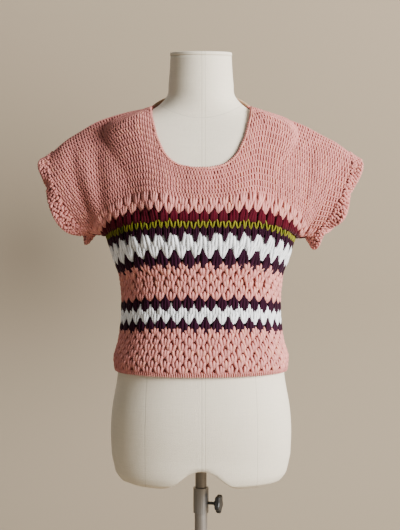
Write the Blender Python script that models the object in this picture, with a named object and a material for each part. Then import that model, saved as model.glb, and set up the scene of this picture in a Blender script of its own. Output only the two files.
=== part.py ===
"""Crochet sweater with cap sleeves, on a limbless dress form with a telescoping stand.

Metres, +Z up, the front faces -Y, origin at the middle of the base plate's underside.
The cloth is a set of walls: each one is worked out from sections of the garment and
is moved clear of the form that carries it.
"""
import math

import bmesh
import bpy
import numpy as np
from mathutils.bvhtree import BVHTree

# Driving sizes of the cloth
WALL = 0.0030
BODY_WALL = 0.0048
SEAM_GAP = 0.0003
CLEAR_OF_FORM = 0.0027
HEM_HEIGHT = 0.9270
HEM_EDGING_HEIGHT = 0.0075
BODY_TOP = 1.2135
SIDE_LINE_Y = 0.004
RIDGE_Y = 0.010
SIDE_LINE_HEIGHTS = (1.1000, 1.1900)
CUFF_CORNER = (0.2030, 1.1780)
CUFF_CORNER_TILT = 0.0040
CUFF_FLARE_LEFT = 1.25
CUFF_FLARE_RIGHT = 1.0
DROOP_SHARE_AT_BACK = 0.45
DROOP_POWER = 3.5
DROOP_LEFT = 0.95
DROOP_RIGHT = 1.06
RIDGE_TILT = 0.004
YOKE_FRONT_DIP = 0.0020
NECK_INSET = (0.0800, 0.0200)
NECK_HALF_WIDTH = 0.0990
NECK_DEPTH_HEIGHT = 1.3110
NECK_ROLL = 0.0019
NECK_ROLL_GAP = 0.0023
NECK_ROLL_STEPS = 56
NECK_ROLL_SIDES = 5
EDGING_GAP = 0.0008
HEM_PROUD = 0.0008
RUFFLE_STEPS = 56
RUFFLE_DEPTH = 0.0060
RUFFLE_ROUNDNESS = 0.35
RUFFLE_FALL = (0.12, 0.90)
RUFFLE_SMOOTHING = 4
RUFFLE_WAVE = 0.0080
RUFFLE_WAVE_POWER = 1.3
RUFFLE_WALL = 0.0026

# Driving sizes of the form and the stand
NECK_TOP = 1.5225
CAP_THICKNESS = 0.0070
LOBE_HEIGHT = 0.6970
NOTCH_RISE = 0.0400
NOTCH_WIDTH = 0.0470
NOTCH_POWER = 2.6
BUST_RISE = 0.0170
BUST_CENTRE = (0.0780, 1.2350)
BUST_SPREAD = (0.0480, 0.0560)
INNER_TUBE_RADIUS = 0.0110
INNER_TUBE_WALL = 0.0014
INNER_TUBE_SPAN = (0.3000, 0.8400)
SOCKET_RADIUS = 0.0113
SOCKET_TOP = 0.8403
OUTER_TUBE_RADIUS = 0.0124
OUTER_TUBE_BORE = 0.0113
OUTER_TUBE_SPAN = (0.0083, 0.6650)
COLLAR_RADIUS = 0.0150
COLLAR_SPAN = (0.6360, 0.6850)
COLLAR_BORE = 0.0127
COLLAR_LIP_BORE = 0.0113
CAP_EDGE = 0.0012
CAP_SCALES = (1.012, 0.985)
SCREW_HEIGHT = 0.6550
SCREW_TURN = math.radians(-15.0)
SCREW_RADIUS = 0.0030
SCREW_HOLE = 0.0034
SCREW_TIP = 0.0115
KNOB_START = 0.0310
KNOB_THICKNESS = 0.0095
KNOB_RADIUS = 0.0188
KNOB_LOBE = 0.0022
KNOB_LOBES = 5
KNOB_NECK = (0.0050, 0.0065)
KNOB_NECK_HEIGHT = 0.0040
KNOB_EDGE = 0.0018
BASE_RADIUS = 0.1900
BASE_THICKNESS = 0.0080
BASE_EDGE = 0.0025
BOSS_RADIUS = 0.0300
BOSS_HEIGHT = 0.0320
BOSS_SHOULDER = (0.65, 0.35)

# How finely the surfaces are divided
BODY_COLUMNS = 20
BODY_INNER_RINGS = 13
YOKE_COLUMNS = 44
YOKE_LINES = 14
PATH_SAMPLES = 49
DRAPE_COLUMNS = 49
DRAPE_ROUNDS = 60
SEAM_TURNS = 61
SLEEVE_SEAM_STEPS = 13
FORM_SEGMENTS = 32
TUBE_SEGMENTS = 24

FORM_SECTIONS = np.array(
    [  # height, half width, front, back, power
        (0.7550, 0.1735, 0.0950, 0.1120, 2.4),
        (0.8000, 0.1750, 0.1020, 0.1210, 2.4),
        (0.8400, 0.1725, 0.1050, 0.1240, 2.4),
        (0.9000, 0.1625, 0.1035, 0.1220, 2.3),
        (0.9430, 0.1575, 0.1010, 0.1170, 2.3),
        (1.0000, 0.1475, 0.0950, 0.1060, 2.3),
        (1.0450, 0.1450, 0.0935, 0.1020, 2.3),
        (1.1000, 0.1490, 0.0980, 0.1035, 2.3),
        (1.1500, 0.1590, 0.1040, 0.1060, 2.3),
        (1.2000, 0.1650, 0.1070, 0.1080, 2.3),
        (1.2500, 0.1690, 0.1065, 0.1100, 2.3),
        (1.3000, 0.1730, 0.1000, 0.1100, 2.3),
        (1.3400, 0.1790, 0.0880, 0.1060, 2.4),
        (1.3680, 0.1820, 0.0760, 0.0990, 2.5),
        (1.3830, 0.1780, 0.0690, 0.0930, 2.5),
        (1.3940, 0.1640, 0.0640, 0.0880, 2.4),
        (1.4030, 0.1400, 0.0600, 0.0830, 2.3),
        (1.4110, 0.1160, 0.0570, 0.0790, 2.2),
        (1.4190, 0.0950, 0.0555, 0.0755, 2.1),
        (1.4290, 0.0800, 0.0545, 0.0720, 2.0),
        (1.4440, 0.0665, 0.0535, 0.0680, 2.0),
        (1.4700, 0.0625, 0.0520, 0.0640, 2.0),
        (1.5000, 0.0600, 0.0510, 0.0620, 2.0),
        (NECK_TOP, 0.0590, 0.0505, 0.0610, 2.0),
    ],
    dtype=[("height", float), ("half_width", float), ("front", float), ("back", float), ("power", float)],
)

FORM_UNDERSIDE = np.array(
    [  # share of the lowest section, height above the lobes
        (0.985, 0.0440),
        (0.955, 0.0220),
        (0.900, 0.0090),
        (0.800, 0.0020),
        (0.620, 0.0000),
        (0.420, 0.0000),
        (0.220, 0.0000),
    ],
    dtype=[("share", float), ("rise", float)],
)

BODY_SECTIONS = np.array(
    [  # height, half width, front, back, power
        (0.9200, 0.1655, 0.1105, 0.1290, 2.3),
        (0.9430, 0.1675, 0.1105, 0.1270, 2.3),
        (0.9700, 0.1600, 0.1080, 0.1210, 2.3),
        (1.0000, 0.1535, 0.1060, 0.1150, 2.3),
        (1.0450, 0.1515, 0.1055, 0.1120, 2.3),
        (1.0750, 0.1530, 0.1070, 0.1120, 2.3),
        (1.1050, 0.1565, 0.1110, 0.1125, 2.3),
        (1.1250, 0.1655, 0.1160, 0.1135, 2.3),
        (1.1500, 0.1740, 0.1230, 0.1150, 2.3),
        (1.1720, 0.1820, 0.1280, 0.1165, 2.3),
        (1.1940, 0.1870, 0.1310, 0.1180, 2.3),
        (1.2350, 0.1890, 0.1340, 0.1190, 2.3),
    ],
    dtype=[("height", float), ("half_width", float), ("front", float), ("back", float), ("power", float)],
)

ROW_GROUPS = np.array(
    [  # rows, top, bottom, relief of a row's crest
        (1, BODY_TOP, 1.2000, 0.0008),
        (1, 1.2000, 1.1850, 0.0015),
        (2, 1.1850, 1.1505, 0.0034),
        (1, 1.1505, 1.1340, 0.0015),
        (6, 1.1340, 1.0665, 0.0014),
        (1, 1.0665, 1.0510, 0.0014),
        (2, 1.0510, 1.0245, 0.0026),
        (1, 1.0245, 1.0115, 0.0014),
        (8, 1.0115, HEM_HEIGHT, 0.0014),
    ],
    dtype=[("rows", int), ("top", float), ("bottom", float), ("relief", float)],
)

DROOP = np.array(
    [  # height at the centre front, how much lower the row hangs at the side
        (0.9150, 0.000),
        (0.9300, 0.003),
        (1.0180, 0.015),
        (1.0570, 0.016),
        (1.1430, 0.029),
        (1.1920, 0.033),
        (1.2344, 0.041),
    ],
    dtype=[("height", float), ("drop", float)],
)

SHOULDER_RIDGE = np.array(
    [  # distance from the centre, height
        (0.0990, 1.4225),
        (0.1350, 1.4145),
        (0.1700, 1.4035),
        (0.1990, 1.3930),
        (0.2330, 1.3740),
        (0.2620, 1.3570),
        (0.2870, 1.3370),
    ],
    dtype=[("out", float), ("height", float)],
)

BACK_NECKLINE = np.array(
    [  # distance from the centre, depth, height
        (0.0000, 0.0790, 1.4470),
        (0.0300, 0.0765, 1.4465),
        (0.0550, 0.0660, 1.4440),
        (0.0760, 0.0450, 1.4370),
        (0.0990, RIDGE_Y, 1.4225),
    ],
    dtype=[("out", float), ("depth", float), ("height", float)],
)

FRONT_NECKLINE = np.array(
    [  # height, half width of the opening
        (1.3090, 0.0200),
        (1.3110, 0.0300),
        (1.3140, 0.0420),
        (1.3185, 0.0510),
        (1.3256, 0.0605),
        (1.3416, 0.0737),
        (1.3577, 0.0810),
        (1.3847, 0.0922),
        (1.4169, 0.0972),
        (1.4225, 0.0990),
    ],
    dtype=[("height", float), ("half_width", float)],
)

YOKE_PATHS = np.array(
    [  # share of the way to the cuff, bulge, roundness, outward flare
        (0.00, 0.010, 0.00, 0.000),
        (0.35, 0.013, 0.00, 0.000),
        (0.50, 0.023, 0.10, 0.000),
        (0.62, 0.034, 0.28, 0.001),
        (0.78, 0.046, 0.68, 0.006),
        (0.92, 0.051, 1.00, 0.015),
        (1.00, 0.050, 1.00, 0.020),
    ],
    dtype=[("share", float), ("bulge", float), ("round", float), ("flare", float)],
)

YOKE_FOLDS = np.array(
    [  # side (-1 viewer's left), face (-1 front), share, width, depth, lean with height
        (-1, -1, 0.70, 0.056, 0.0055, -0.060),
        (-1, -1, 0.86, 0.042, 0.0042, -0.040),
        (1, -1, 0.74, 0.045, 0.0055, -0.080),
        (-1, 1, 0.72, 0.050, 0.0070, -0.040),
        (1, 1, 0.70, 0.050, 0.0060, -0.050),
    ],
    dtype=[
        ("side", int),
        ("face", int),
        ("share", float),
        ("width", float),
        ("depth", float),
        ("lean", float),
    ],
)

RUFFLE_LOBES = np.array(
    [  # side (-1 viewer's left), turns round the cuff from the underarm where it starts and ends, rise
        (-1, -0.085, 0.045, 0.0170),
        (-1, 0.045, 0.335, 0.0220),
        (-1, 0.335, 0.530, 0.0145),
        (-1, 0.530, 0.730, 0.0190),
        (-1, 0.730, 0.915, 0.0200),
        (1, -0.075, 0.120, 0.0160),
        (1, 0.120, 0.300, 0.0180),
        (1, 0.300, 0.540, 0.0145),
        (1, 0.540, 0.740, 0.0205),
        (1, 0.740, 0.925, 0.0200),
    ],
    dtype=[("side", int), ("start", float), ("end", float), ("rise", float)],
)

COLOURS = {  # linear colour, roughness, metallic
    "pink_yarn": ((0.58, 0.29, 0.25), 0.90, 0.0),
    "linen": ((0.62, 0.58, 0.50), 0.80, 0.0),
    "steel": ((0.16, 0.15, 0.14), 0.35, 0.9),
    "black_plastic": ((0.01, 0.01, 0.01), 0.45, 0.0),
}


def smooth_read(table, column, at):
    """A table's column as a smooth curve: cubic pieces with slopes from the neighbours."""
    keys = table[table.dtype.names[0]]
    values = table[column]
    slopes = np.gradient(values, keys)
    at = np.clip(at, keys[0], keys[-1])
    left = np.clip(np.searchsorted(keys, at, side="right") - 1, 0, len(keys) - 2)
    span = keys[left + 1] - keys[left]
    part = (at - keys[left]) / span
    rise = values[left] * (1 + 2 * part) * (1 - part) ** 2
    rise = rise + values[left + 1] * part**2 * (3 - 2 * part)
    lean = slopes[left] * part * (1 - part) ** 2 - slopes[left + 1] * part**2 * (1 - part)
    return rise + lean * span


def section_point(table, angle, height):
    """A rounded section: |x/a|^n + |y/b|^n = 1 at the angle from the centre front."""
    power = smooth_read(table, "power", height)
    across = np.sign(np.sin(angle)) * np.abs(np.sin(angle)) ** (2 / power)
    along = np.sign(np.cos(angle)) * np.abs(np.cos(angle)) ** (2 / power)
    front = smooth_read(table, "front", height)
    back = smooth_read(table, "back", height)
    x = smooth_read(table, "half_width", height) * across
    y = np.where(along > 0, -front * along, -back * along)
    return x, y


def unit(vectors):
    """Vectors brought to length one along the last axis."""
    return vectors / np.maximum(np.linalg.norm(vectors, axis=-1, keepdims=True), 1e-12)


def new_material(name):
    """A Principled material with one of the colours above."""
    colour, roughness, metallic = COLOURS[name]
    material = bpy.data.materials.new(name)
    material.use_nodes = True
    shader = material.node_tree.nodes["Principled BSDF"]
    shader.inputs["Base Color"].default_value = (*colour, 1.0)
    shader.inputs["Roughness"].default_value = roughness
    shader.inputs["Metallic"].default_value = metallic
    return material


def new_solid(name, vertices, faces, colour, sharp_angle=35.0):
    """One closed solid from points and faces, its faces turned outwards."""
    mesh = bpy.data.meshes.new(name)
    mesh.from_pydata([tuple(point) for point in vertices], [], faces)
    shape = bmesh.new()
    shape.from_mesh(mesh)
    bmesh.ops.recalc_face_normals(shape, faces=shape.faces)
    if shape.calc_volume(signed=True) < 0:
        bmesh.ops.reverse_faces(shape, faces=shape.faces)
    shape.to_mesh(mesh)
    shape.free()
    mesh.shade_smooth()
    mesh.set_sharp_from_angle(angle=math.radians(sharp_angle))
    solid = bpy.data.objects.new(name, mesh)
    solid.data.materials.append(new_material(colour))
    bpy.context.scene.collection.objects.link(solid)
    return solid


def grid_faces(index, wrap=False):
    """Four-sided faces between the neighbours of a grid of point numbers."""
    after = np.roll(index, -1, axis=0) if wrap else index[1:]
    before = index if wrap else index[:-1]
    corners = np.stack([before[:, :-1], after[:, :-1], after[:, 1:], before[:, 1:]], axis=-1)
    return [tuple(int(i) for i in face) for face in corners.reshape(-1, 4)]


def strip_between(first, second, points):
    """Triangles between two lines of points that have different numbers of points."""
    faces = []
    i = 0
    j = 0
    while i < len(first) - 1 or j < len(second) - 1:
        step_first = math.inf
        step_second = math.inf
        if i < len(first) - 1:
            step_first = np.linalg.norm(points[first[i + 1]] - points[second[j]])
        if j < len(second) - 1:
            step_second = np.linalg.norm(points[second[j + 1]] - points[first[i]])
        if step_first <= step_second:
            faces.append((int(first[i]), int(first[i + 1]), int(second[j])))
            i += 1
        else:
            faces.append((int(first[i]), int(second[j + 1]), int(second[j])))
            j += 1
    return faces


def wall_solid(name, outer, inner, colour):
    """A closed wall between two sheets that share their columns (first axis)."""
    points = np.concatenate([outer.reshape(-1, 3), inner.reshape(-1, 3)])
    outer_index = np.arange(outer.shape[0] * outer.shape[1]).reshape(outer.shape[:2])
    inner_index = np.arange(inner.shape[0] * inner.shape[1]).reshape(inner.shape[:2])
    inner_index = inner_index + outer_index.size
    faces = grid_faces(outer_index)
    faces += [face[::-1] for face in grid_faces(inner_index)]
    for edge in (0, -1):
        low_high = np.stack([inner_index[:, edge], outer_index[:, edge]], axis=-1)
        faces += [face if edge == 0 else face[::-1] for face in grid_faces(low_high)]
        strip = strip_between(outer_index[edge], inner_index[edge], points)
        faces += [face if edge == 0 else face[::-1] for face in strip]
    return new_solid(name, points, faces, colour)


def ring_solid(name, sections, colour):
    """A closed ring from closed sections: axis 0 goes round the ring, axis 1 round a section."""
    index = np.arange(sections.shape[0] * sections.shape[1]).reshape(sections.shape[:2])
    index = np.concatenate([index, index[:, :1]], axis=1)
    return new_solid(name, sections.reshape(-1, 3), grid_faces(index, wrap=True), colour)


def turned_solid(name, profile, colour, segments=TUBE_SEGMENTS):
    """A closed profile of (radius, height) turned about Z; a radius of 0 is one point."""
    vertices = []
    rings = []
    for radius, height in profile:
        if radius == 0:
            rings.append([len(vertices)] * segments)
            vertices.append((0.0, 0.0, height))
            continue
        rings.append(list(range(len(vertices), len(vertices) + segments)))
        for step in range(segments):
            turn = 2 * math.pi * step / segments
            vertices.append((radius * math.cos(turn), radius * math.sin(turn), height))
    faces = []
    count = len(rings)
    last = count if profile[0][0] > 0 and profile[-1][0] > 0 else count - 1
    for number in range(last):
        lower = rings[number]
        upper = rings[(number + 1) % count]
        for step in range(segments):
            after = (step + 1) % segments
            face = (lower[step], lower[after], upper[after], upper[step])
            faces.append(tuple(dict.fromkeys(face)))
    return new_solid(name, vertices, faces, colour)


def form_rings():
    """Rings of the torso from the underside's socket up to the neck's flat top."""
    angle = 2 * np.pi * np.arange(FORM_SEGMENTS) / FORM_SEGMENTS
    circle = np.stack([np.sin(angle), -np.cos(angle)], axis=-1)
    lowest = FORM_SECTIONS["height"][0]
    rings = [np.column_stack([circle * SOCKET_RADIUS, np.full(FORM_SEGMENTS, SOCKET_TOP)])]
    socket_mouth = np.column_stack([circle * SOCKET_RADIUS, np.full(FORM_SEGMENTS, LOBE_HEIGHT + NOTCH_RISE)])
    rings.append(socket_mouth)
    x_low, y_low = section_point(FORM_SECTIONS, angle, np.full(FORM_SEGMENTS, lowest))
    for share, rise in FORM_UNDERSIDE[::-1]:
        x = x_low * share
        notch = NOTCH_RISE * np.exp(-((np.abs(x) / NOTCH_WIDTH) ** NOTCH_POWER))
        height = np.maximum(LOBE_HEIGHT + rise, LOBE_HEIGHT + notch)
        rings.append(np.column_stack([x, y_low * share, height]))
    for height in FORM_SECTIONS["height"]:
        x, y = section_point(FORM_SECTIONS, angle, np.full(FORM_SEGMENTS, height))
        across = (np.abs(x) - BUST_CENTRE[0]) / BUST_SPREAD[0]
        up = (height - BUST_CENTRE[1]) / BUST_SPREAD[1]
        bust = BUST_RISE * np.exp(-(across**2) - up**2)
        y = np.where(y < 0, y - bust, y)
        rings.append(np.column_stack([x, y, np.full(FORM_SEGMENTS, height)]))
    return np.array(rings)


def build_form():
    """The torso with its socket, and the cap on its neck. Gives the torso's closest-point tree."""
    rings = form_rings()
    index = np.arange(rings.shape[0] * FORM_SEGMENTS).reshape(rings.shape[:2])
    faces = grid_faces(index.T, wrap=True)
    points = rings.reshape(-1, 3)
    faces.append(tuple(int(i) for i in index[0]))
    faces.append(tuple(int(i) for i in index[-1][::-1]))
    torso = new_solid("form_torso", points, faces, "linen", sharp_angle=60.0)
    outside = [tuple(face.vertices) for face in torso.data.polygons]
    tree = BVHTree.FromPolygons([tuple(point) for point in points], outside)
    rim = rings[-1].copy()
    low = NECK_TOP + SEAM_GAP
    wide, top = CAP_SCALES
    layers = []
    for scale, height in ((1.0, low), (wide, low + CAP_EDGE), (wide, low + CAP_THICKNESS - 2 * CAP_EDGE),
                          (top, low + CAP_THICKNESS)):
        layers.append(np.column_stack([rim[:, :2] * scale, np.full(FORM_SEGMENTS, height)]))
    layers = np.array(layers)
    index = np.arange(layers.shape[0] * FORM_SEGMENTS).reshape(layers.shape[:2])
    faces = grid_faces(index.T, wrap=True)
    faces.append(tuple(int(i) for i in index[0]))
    faces.append(tuple(int(i) for i in index[-1][::-1]))
    new_solid("form_neck_cap", layers.reshape(-1, 3), faces, "linen")
    return tree


def clear_of(tree, points, gap):
    """Points moved out along the form's nearest face until they lie the gap away from it."""
    moved = points.reshape(-1, 3).copy()
    for number, point in enumerate(moved):
        nearest, normal, _face, _distance = tree.find_nearest(point.tolist())
        away = float(np.dot(point - np.array(nearest), np.array(normal)))
        if away < gap:
            moved[number] = point + np.array(normal) * (gap - away)
    return moved.reshape(points.shape)


def lift_wall(tree, outer, inner):
    """A wall lifted, thickness kept, until its faces and their edges are clear of the form too."""
    for across, along in ((0.5, 0.5), (0.5, 0.0), (0.0, 0.5), (0.5, 1.0), (1.0, 0.5), (0.5, 0.5)):
        near = (1 - along) * inner[:-1, :-1] + along * inner[:-1, 1:]
        far = (1 - along) * inner[1:, :-1] + along * inner[1:, 1:]
        middle = (1 - across) * near + across * far
        push = np.pad(clear_of(tree, middle, CLEAR_OF_FORM) - middle, ((1, 1), (1, 1), (0, 0)))
        around = np.stack([push[:-1, :-1], push[1:, :-1], push[:-1, 1:], push[1:, 1:]])
        largest = np.argmax(np.linalg.norm(around, axis=-1), axis=0)
        move = np.take_along_axis(around, largest[None, :, :, None], axis=0)[0]
        inner = inner + move
        outer = outer + move
    return outer, inner


def droop_share(angle):
    """How much of a row's drop shows at an angle: none at the centre front, all at the side."""
    side = np.abs(np.sin(angle)) ** DROOP_POWER
    share = np.where(np.cos(angle) > 0, side, DROOP_SHARE_AT_BACK + (1 - DROOP_SHARE_AT_BACK) * side)
    return share * np.where(np.sin(angle) < 0, DROOP_LEFT, DROOP_RIGHT)


def body_point(angle, row_height):
    """Outer face of the body: a rounded section at the height that the row hangs at."""
    angle, row_height = np.broadcast_arrays(angle, row_height)
    height = row_height - smooth_read(DROOP, "drop", row_height) * droop_share(angle)
    x, y = section_point(BODY_SECTIONS, angle, height)
    low, high = SIDE_LINE_HEIGHTS
    share = np.clip((height - low) / (high - low), 0.0, 1.0)
    return np.stack([x, y + SIDE_LINE_Y * share, height], axis=-1)


def body_normal(angle, row_height):
    """Outward normal of the body's face from small steps round and up."""
    step = 1e-4
    around = body_point(angle + step, row_height) - body_point(angle - step, row_height)
    rise = body_point(angle, row_height + step) - body_point(angle, row_height - step)
    return unit(np.cross(around, rise))


def ridge_point(share, side, face):
    """Top line of the yoke: the shoulder ridge, and inside the neck the line of that face."""
    length, outs = ridge_length()
    out = share * length[-1]
    x = np.interp(out, length, outs)
    height = smooth_read(SHOULDER_RIDGE, "height", np.maximum(x, NECK_HALF_WIDTH))
    sleeve = np.clip((out - NECK_HALF_WIDTH) / (length[-1] - NECK_HALF_WIDTH), 0.0, 1.0)
    height = height - side * RIDGE_TILT * np.sin(np.pi * sleeve)
    inside = x < NECK_HALF_WIDTH
    if face > 0:
        y = np.where(inside, smooth_read(BACK_NECKLINE, "depth", x), RIDGE_Y)
        height = np.where(inside, smooth_read(BACK_NECKLINE, "height", x), height)
    else:
        near = np.cos(0.5 * np.pi * x / NECK_HALF_WIDTH)
        y = np.where(inside, RIDGE_Y - NECK_INSET[0] * near, RIDGE_Y)
        height = np.where(inside, height - NECK_INSET[1] * near, height)
    return np.stack([side * x, y, height], axis=-1)


def ridge_length():
    """Lengths along the ridge, and the distances from the centre that they reach."""
    out = np.concatenate([[0.0], SHOULDER_RIDGE["out"]])
    height = np.concatenate([[SHOULDER_RIDGE["height"][0]], SHOULDER_RIDGE["height"]])
    length = np.concatenate([[0.0], np.cumsum(np.hypot(np.diff(out), np.diff(height)))])
    return length, out


def neck_share():
    """Share of the way to the cuff at which the neck's side meets the shoulder ridge."""
    return NECK_HALF_WIDTH / ridge_length()[0][-1]


def seam_line(side, face):
    """Bottom line of the yoke: along the body's top to the side, then out to the cuff."""
    turn = np.linspace(0.0, 0.5 * np.pi, SEAM_TURNS)
    angle = turn if face < 0 else np.pi - turn
    line = body_point(side * angle, np.full(angle.shape, BODY_TOP))
    corner = np.array([side * CUFF_CORNER[0], line[-1][1], CUFF_CORNER[1] - side * CUFF_CORNER_TILT])
    along = np.linspace(0.0, 1.0, SLEEVE_SEAM_STEPS)[1:, None]
    line = np.concatenate([line, line[-1] + along * (corner - line[-1])])
    length = np.concatenate([[0.0], np.cumsum(np.linalg.norm(np.diff(line, axis=0), axis=1))])
    return line, length / length[-1]


def bridged(depth):
    """Cloth hung across hollows: a column rises to its neighbours' mean where that stands out more."""
    for _round in range(DRAPE_ROUNDS):
        mean = 0.5 * (depth[:-2] + depth[2:])
        depth[1:-1] = np.maximum(depth[1:-1], mean)
    return depth


def ends_of_columns(shares, side, face):
    """Points on the yoke's bottom line and on its top line at the shares."""
    line, measure = seam_line(side, face)
    low = np.stack([np.interp(shares, measure, line[:, k]) for k in range(3)], axis=-1)
    return low, ridge_point(np.asarray(shares), side, face)


def yoke_columns(tree, shares, side, face):
    """Columns of the yoke from its bottom line to the ridge.

    Each column goes from the seam to the ridge, bulged out by a half sine wave and, near the
    cuff, rounded like half an ellipse. The columns are moved clear of the form, hung across
    the hollows between them, given their folds, and read at the shares.
    """
    every = np.linspace(0.0, 1.0, DRAPE_COLUMNS)
    low, high = ends_of_columns(every, side, face)
    way = np.linspace(0.0, 1.0, PATH_SAMPLES)
    roundness = smooth_read(YOKE_PATHS, "round", every)[:, None]
    bulge = smooth_read(YOKE_PATHS, "bulge", every)[:, None]
    flare = smooth_read(YOKE_PATHS, "flare", every)[:, None]
    flare = flare * (CUFF_FLARE_RIGHT if side > 0 else CUFF_FLARE_LEFT)
    eased = (1 - roundness) * way + roundness * 0.5 * (1 - np.cos(np.pi * way))
    path = low[:, None, :] + eased[:, :, None] * (high - low)[:, None, :]
    half_wave = np.sin(np.pi * way)
    chord = high - low
    across = unit(np.stack([chord[:, 2] * side, np.zeros(len(every)), -np.abs(chord[:, 0])], axis=-1))
    path[:, :, 1] += face * bulge * half_wave
    path += flare[:, :, None] * half_wave[None, :, None] * across[:, None, :]
    path = clear_of(tree, path, CLEAR_OF_FORM + WALL)
    hung = face * bridged(face * path[:, :, 1])
    path[:, :, 1] += (hung - path[:, :, 1]) * np.sqrt(np.maximum(half_wave, 0.0))
    for fold in YOKE_FOLDS:
        if fold["side"] != side or fold["face"] != face:
            continue
        place = fold["share"] + fold["lean"] * (way - 0.5)
        trough = np.exp(-(((every[:, None] - place) / fold["width"]) ** 2))
        path[:, :, 1] -= face * fold["depth"] * trough * half_wave
    at = np.asarray(shares) * (DRAPE_COLUMNS - 1)
    before = np.clip(at.astype(int), 0, DRAPE_COLUMNS - 2)
    part = (at - before)[:, None]
    seam, ridge = ends_of_columns(shares, side, face)
    seam = seam - (low[before] * (1 - part) + low[before + 1] * part)
    ridge = ridge - (high[before] * (1 - part) + high[before + 1] * part)
    path = path[before] * (1 - part[..., None]) + path[before + 1] * part[..., None]
    path = path + seam[:, None, :] * (1 - way)[:, None] + ridge[:, None, :] * way[:, None]
    return clear_of(tree, path, CLEAR_OF_FORM + WALL)


def yoke_grid(tree, shares, side, face, lines):
    """Points of one half of a yoke, evenly spaced along each column up to its top edge.

    The third result is how much of the full row height each column reaches.
    """
    shares = np.asarray(shares)
    columns = yoke_columns(tree, shares, side, face)
    neck_column = yoke_columns(tree, np.array([neck_share()]), side, face)
    full = float(np.linalg.norm(np.diff(neck_column[0], axis=0), axis=1).sum())
    result = np.zeros((len(shares), lines + 1, 3))
    reach = np.ones(len(shares))
    for number, column in enumerate(columns):
        length = np.concatenate([[0.0], np.cumsum(np.linalg.norm(np.diff(column, axis=0), axis=1))])
        end = length[-1]
        if face < 0 and shares[number] < neck_share():
            half = smooth_read(FRONT_NECKLINE, "half_width", column[:, 2])
            bottom = NECK_DEPTH_HEIGHT - YOKE_FRONT_DIP * np.cos(0.5 * np.pi * shares[number] / neck_share())
            inside = np.minimum(half - np.abs(column[:, 0]), column[:, 2] - bottom)
            first = int(np.argmax(inside > 0))
            part = -inside[first - 1] / (inside[first] - inside[first - 1])
            end = length[first - 1] + part * (length[first] - length[first - 1])
            reach[number] = end / full
        at = np.linspace(0.0, end, lines + 1)
        for k in range(3):
            result[number, :, k] = np.interp(at, length, column[:, k])
    return result, reach


def grid_normals(grid):
    """Outward normals of a sheet from the differences between its neighbours."""
    across = np.gradient(grid, axis=0)
    along = np.gradient(grid, axis=1)
    return unit(np.cross(across, along))


def yoke_shares():
    """Places of the columns from the centre to the cuff, closer together at the neck's side."""
    inner = np.array([0.0, 0.28, 0.42, 0.53, 0.63, 0.75, 0.84, 0.93]) * neck_share()
    outer = np.linspace(neck_share(), 1.0, YOKE_COLUMNS // 2 - len(inner) + 1)
    return np.concatenate([inner, outer])


def seam_normals(shares, side, face, normals):
    """Normals on the yoke's bottom line: the body's own up to the side, then upright ones."""
    _line, measure = seam_line(side, face)
    side_share = measure[SEAM_TURNS - 1]
    turn = np.interp(shares, measure[:SEAM_TURNS], np.linspace(0.0, 0.5 * np.pi, SEAM_TURNS))
    angle = side * (turn if face < 0 else np.pi - turn)
    body = body_normal(angle, np.full(angle.shape, BODY_TOP))
    upright = normals.copy()
    upright[:, 1] = 0.0
    return np.where((shares <= side_share)[:, None], body, unit(upright))


def yoke_sheets(tree, face):
    """Outer and inner sheets of a whole yoke, from the viewer's left cuff to the right one."""
    shares = yoke_shares()
    halves = []
    for side in (-1, 1):
        sheet, _ = yoke_grid(tree, shares, side, face, YOKE_LINES)
        normals = grid_normals(sheet) * (-face * side)
        normals[:, 0] = seam_normals(shares, side, face, normals[:, 0])
        ridge = shares >= neck_share() - 1e-9
        upright = normals[ridge, -1].copy()
        upright[:, 1] = 0.0
        normals[ridge, -1] = unit(upright)
        sheet, inner = lift_wall(tree, sheet, clear_of(tree, sheet - normals * WALL, CLEAR_OF_FORM))
        for layer in (sheet, inner):
            layer[:, 0, 2] += 0.5 * SEAM_GAP
            layer[:, 0, 1] += face * 0.5 * SEAM_GAP
            layer[ridge, -1, 1] += face * 0.5 * SEAM_GAP
        halves.append((sheet, inner, normals))
    left, right = halves
    return [np.concatenate([left[k][:0:-1], right[k]]) for k in range(3)]


def row_lines():
    """Heights and relief of the body's rows: a crest in each row and a valley between rows."""
    heights = [BODY_TOP]
    sunk = [ROW_GROUPS["relief"][0]]
    for group in ROW_GROUPS:
        pitch = (group["top"] - group["bottom"]) / group["rows"]
        for row in range(group["rows"]):
            heights.append(group["top"] - pitch * (row + 0.5))
            sunk.append(0.0)
            heights.append(group["top"] - pitch * (row + 1))
            sunk.append(group["relief"])
    return np.array(heights), np.array(sunk)


def body_sheet(tree, face, heights, sunk):
    """One half of the body at the given row heights, sunk below its outline, with its normals."""
    angle = np.linspace(-0.5 * np.pi, 0.5 * np.pi, BODY_COLUMNS + 1)
    angle = angle if face < 0 else np.pi - angle
    angle, heights = np.meshgrid(angle, heights, indexing="ij")
    normals = body_normal(angle, heights)
    points = clear_of(tree, body_point(angle, heights), CLEAR_OF_FORM + BODY_WALL)
    points = points - normals * np.broadcast_to(sunk, heights.shape)[..., None]
    points[0, :, 1] += face * 0.5 * SEAM_GAP
    points[-1, :, 1] += face * 0.5 * SEAM_GAP
    points[:, 0, 2] -= 0.5 * SEAM_GAP
    return points, normals


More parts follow.
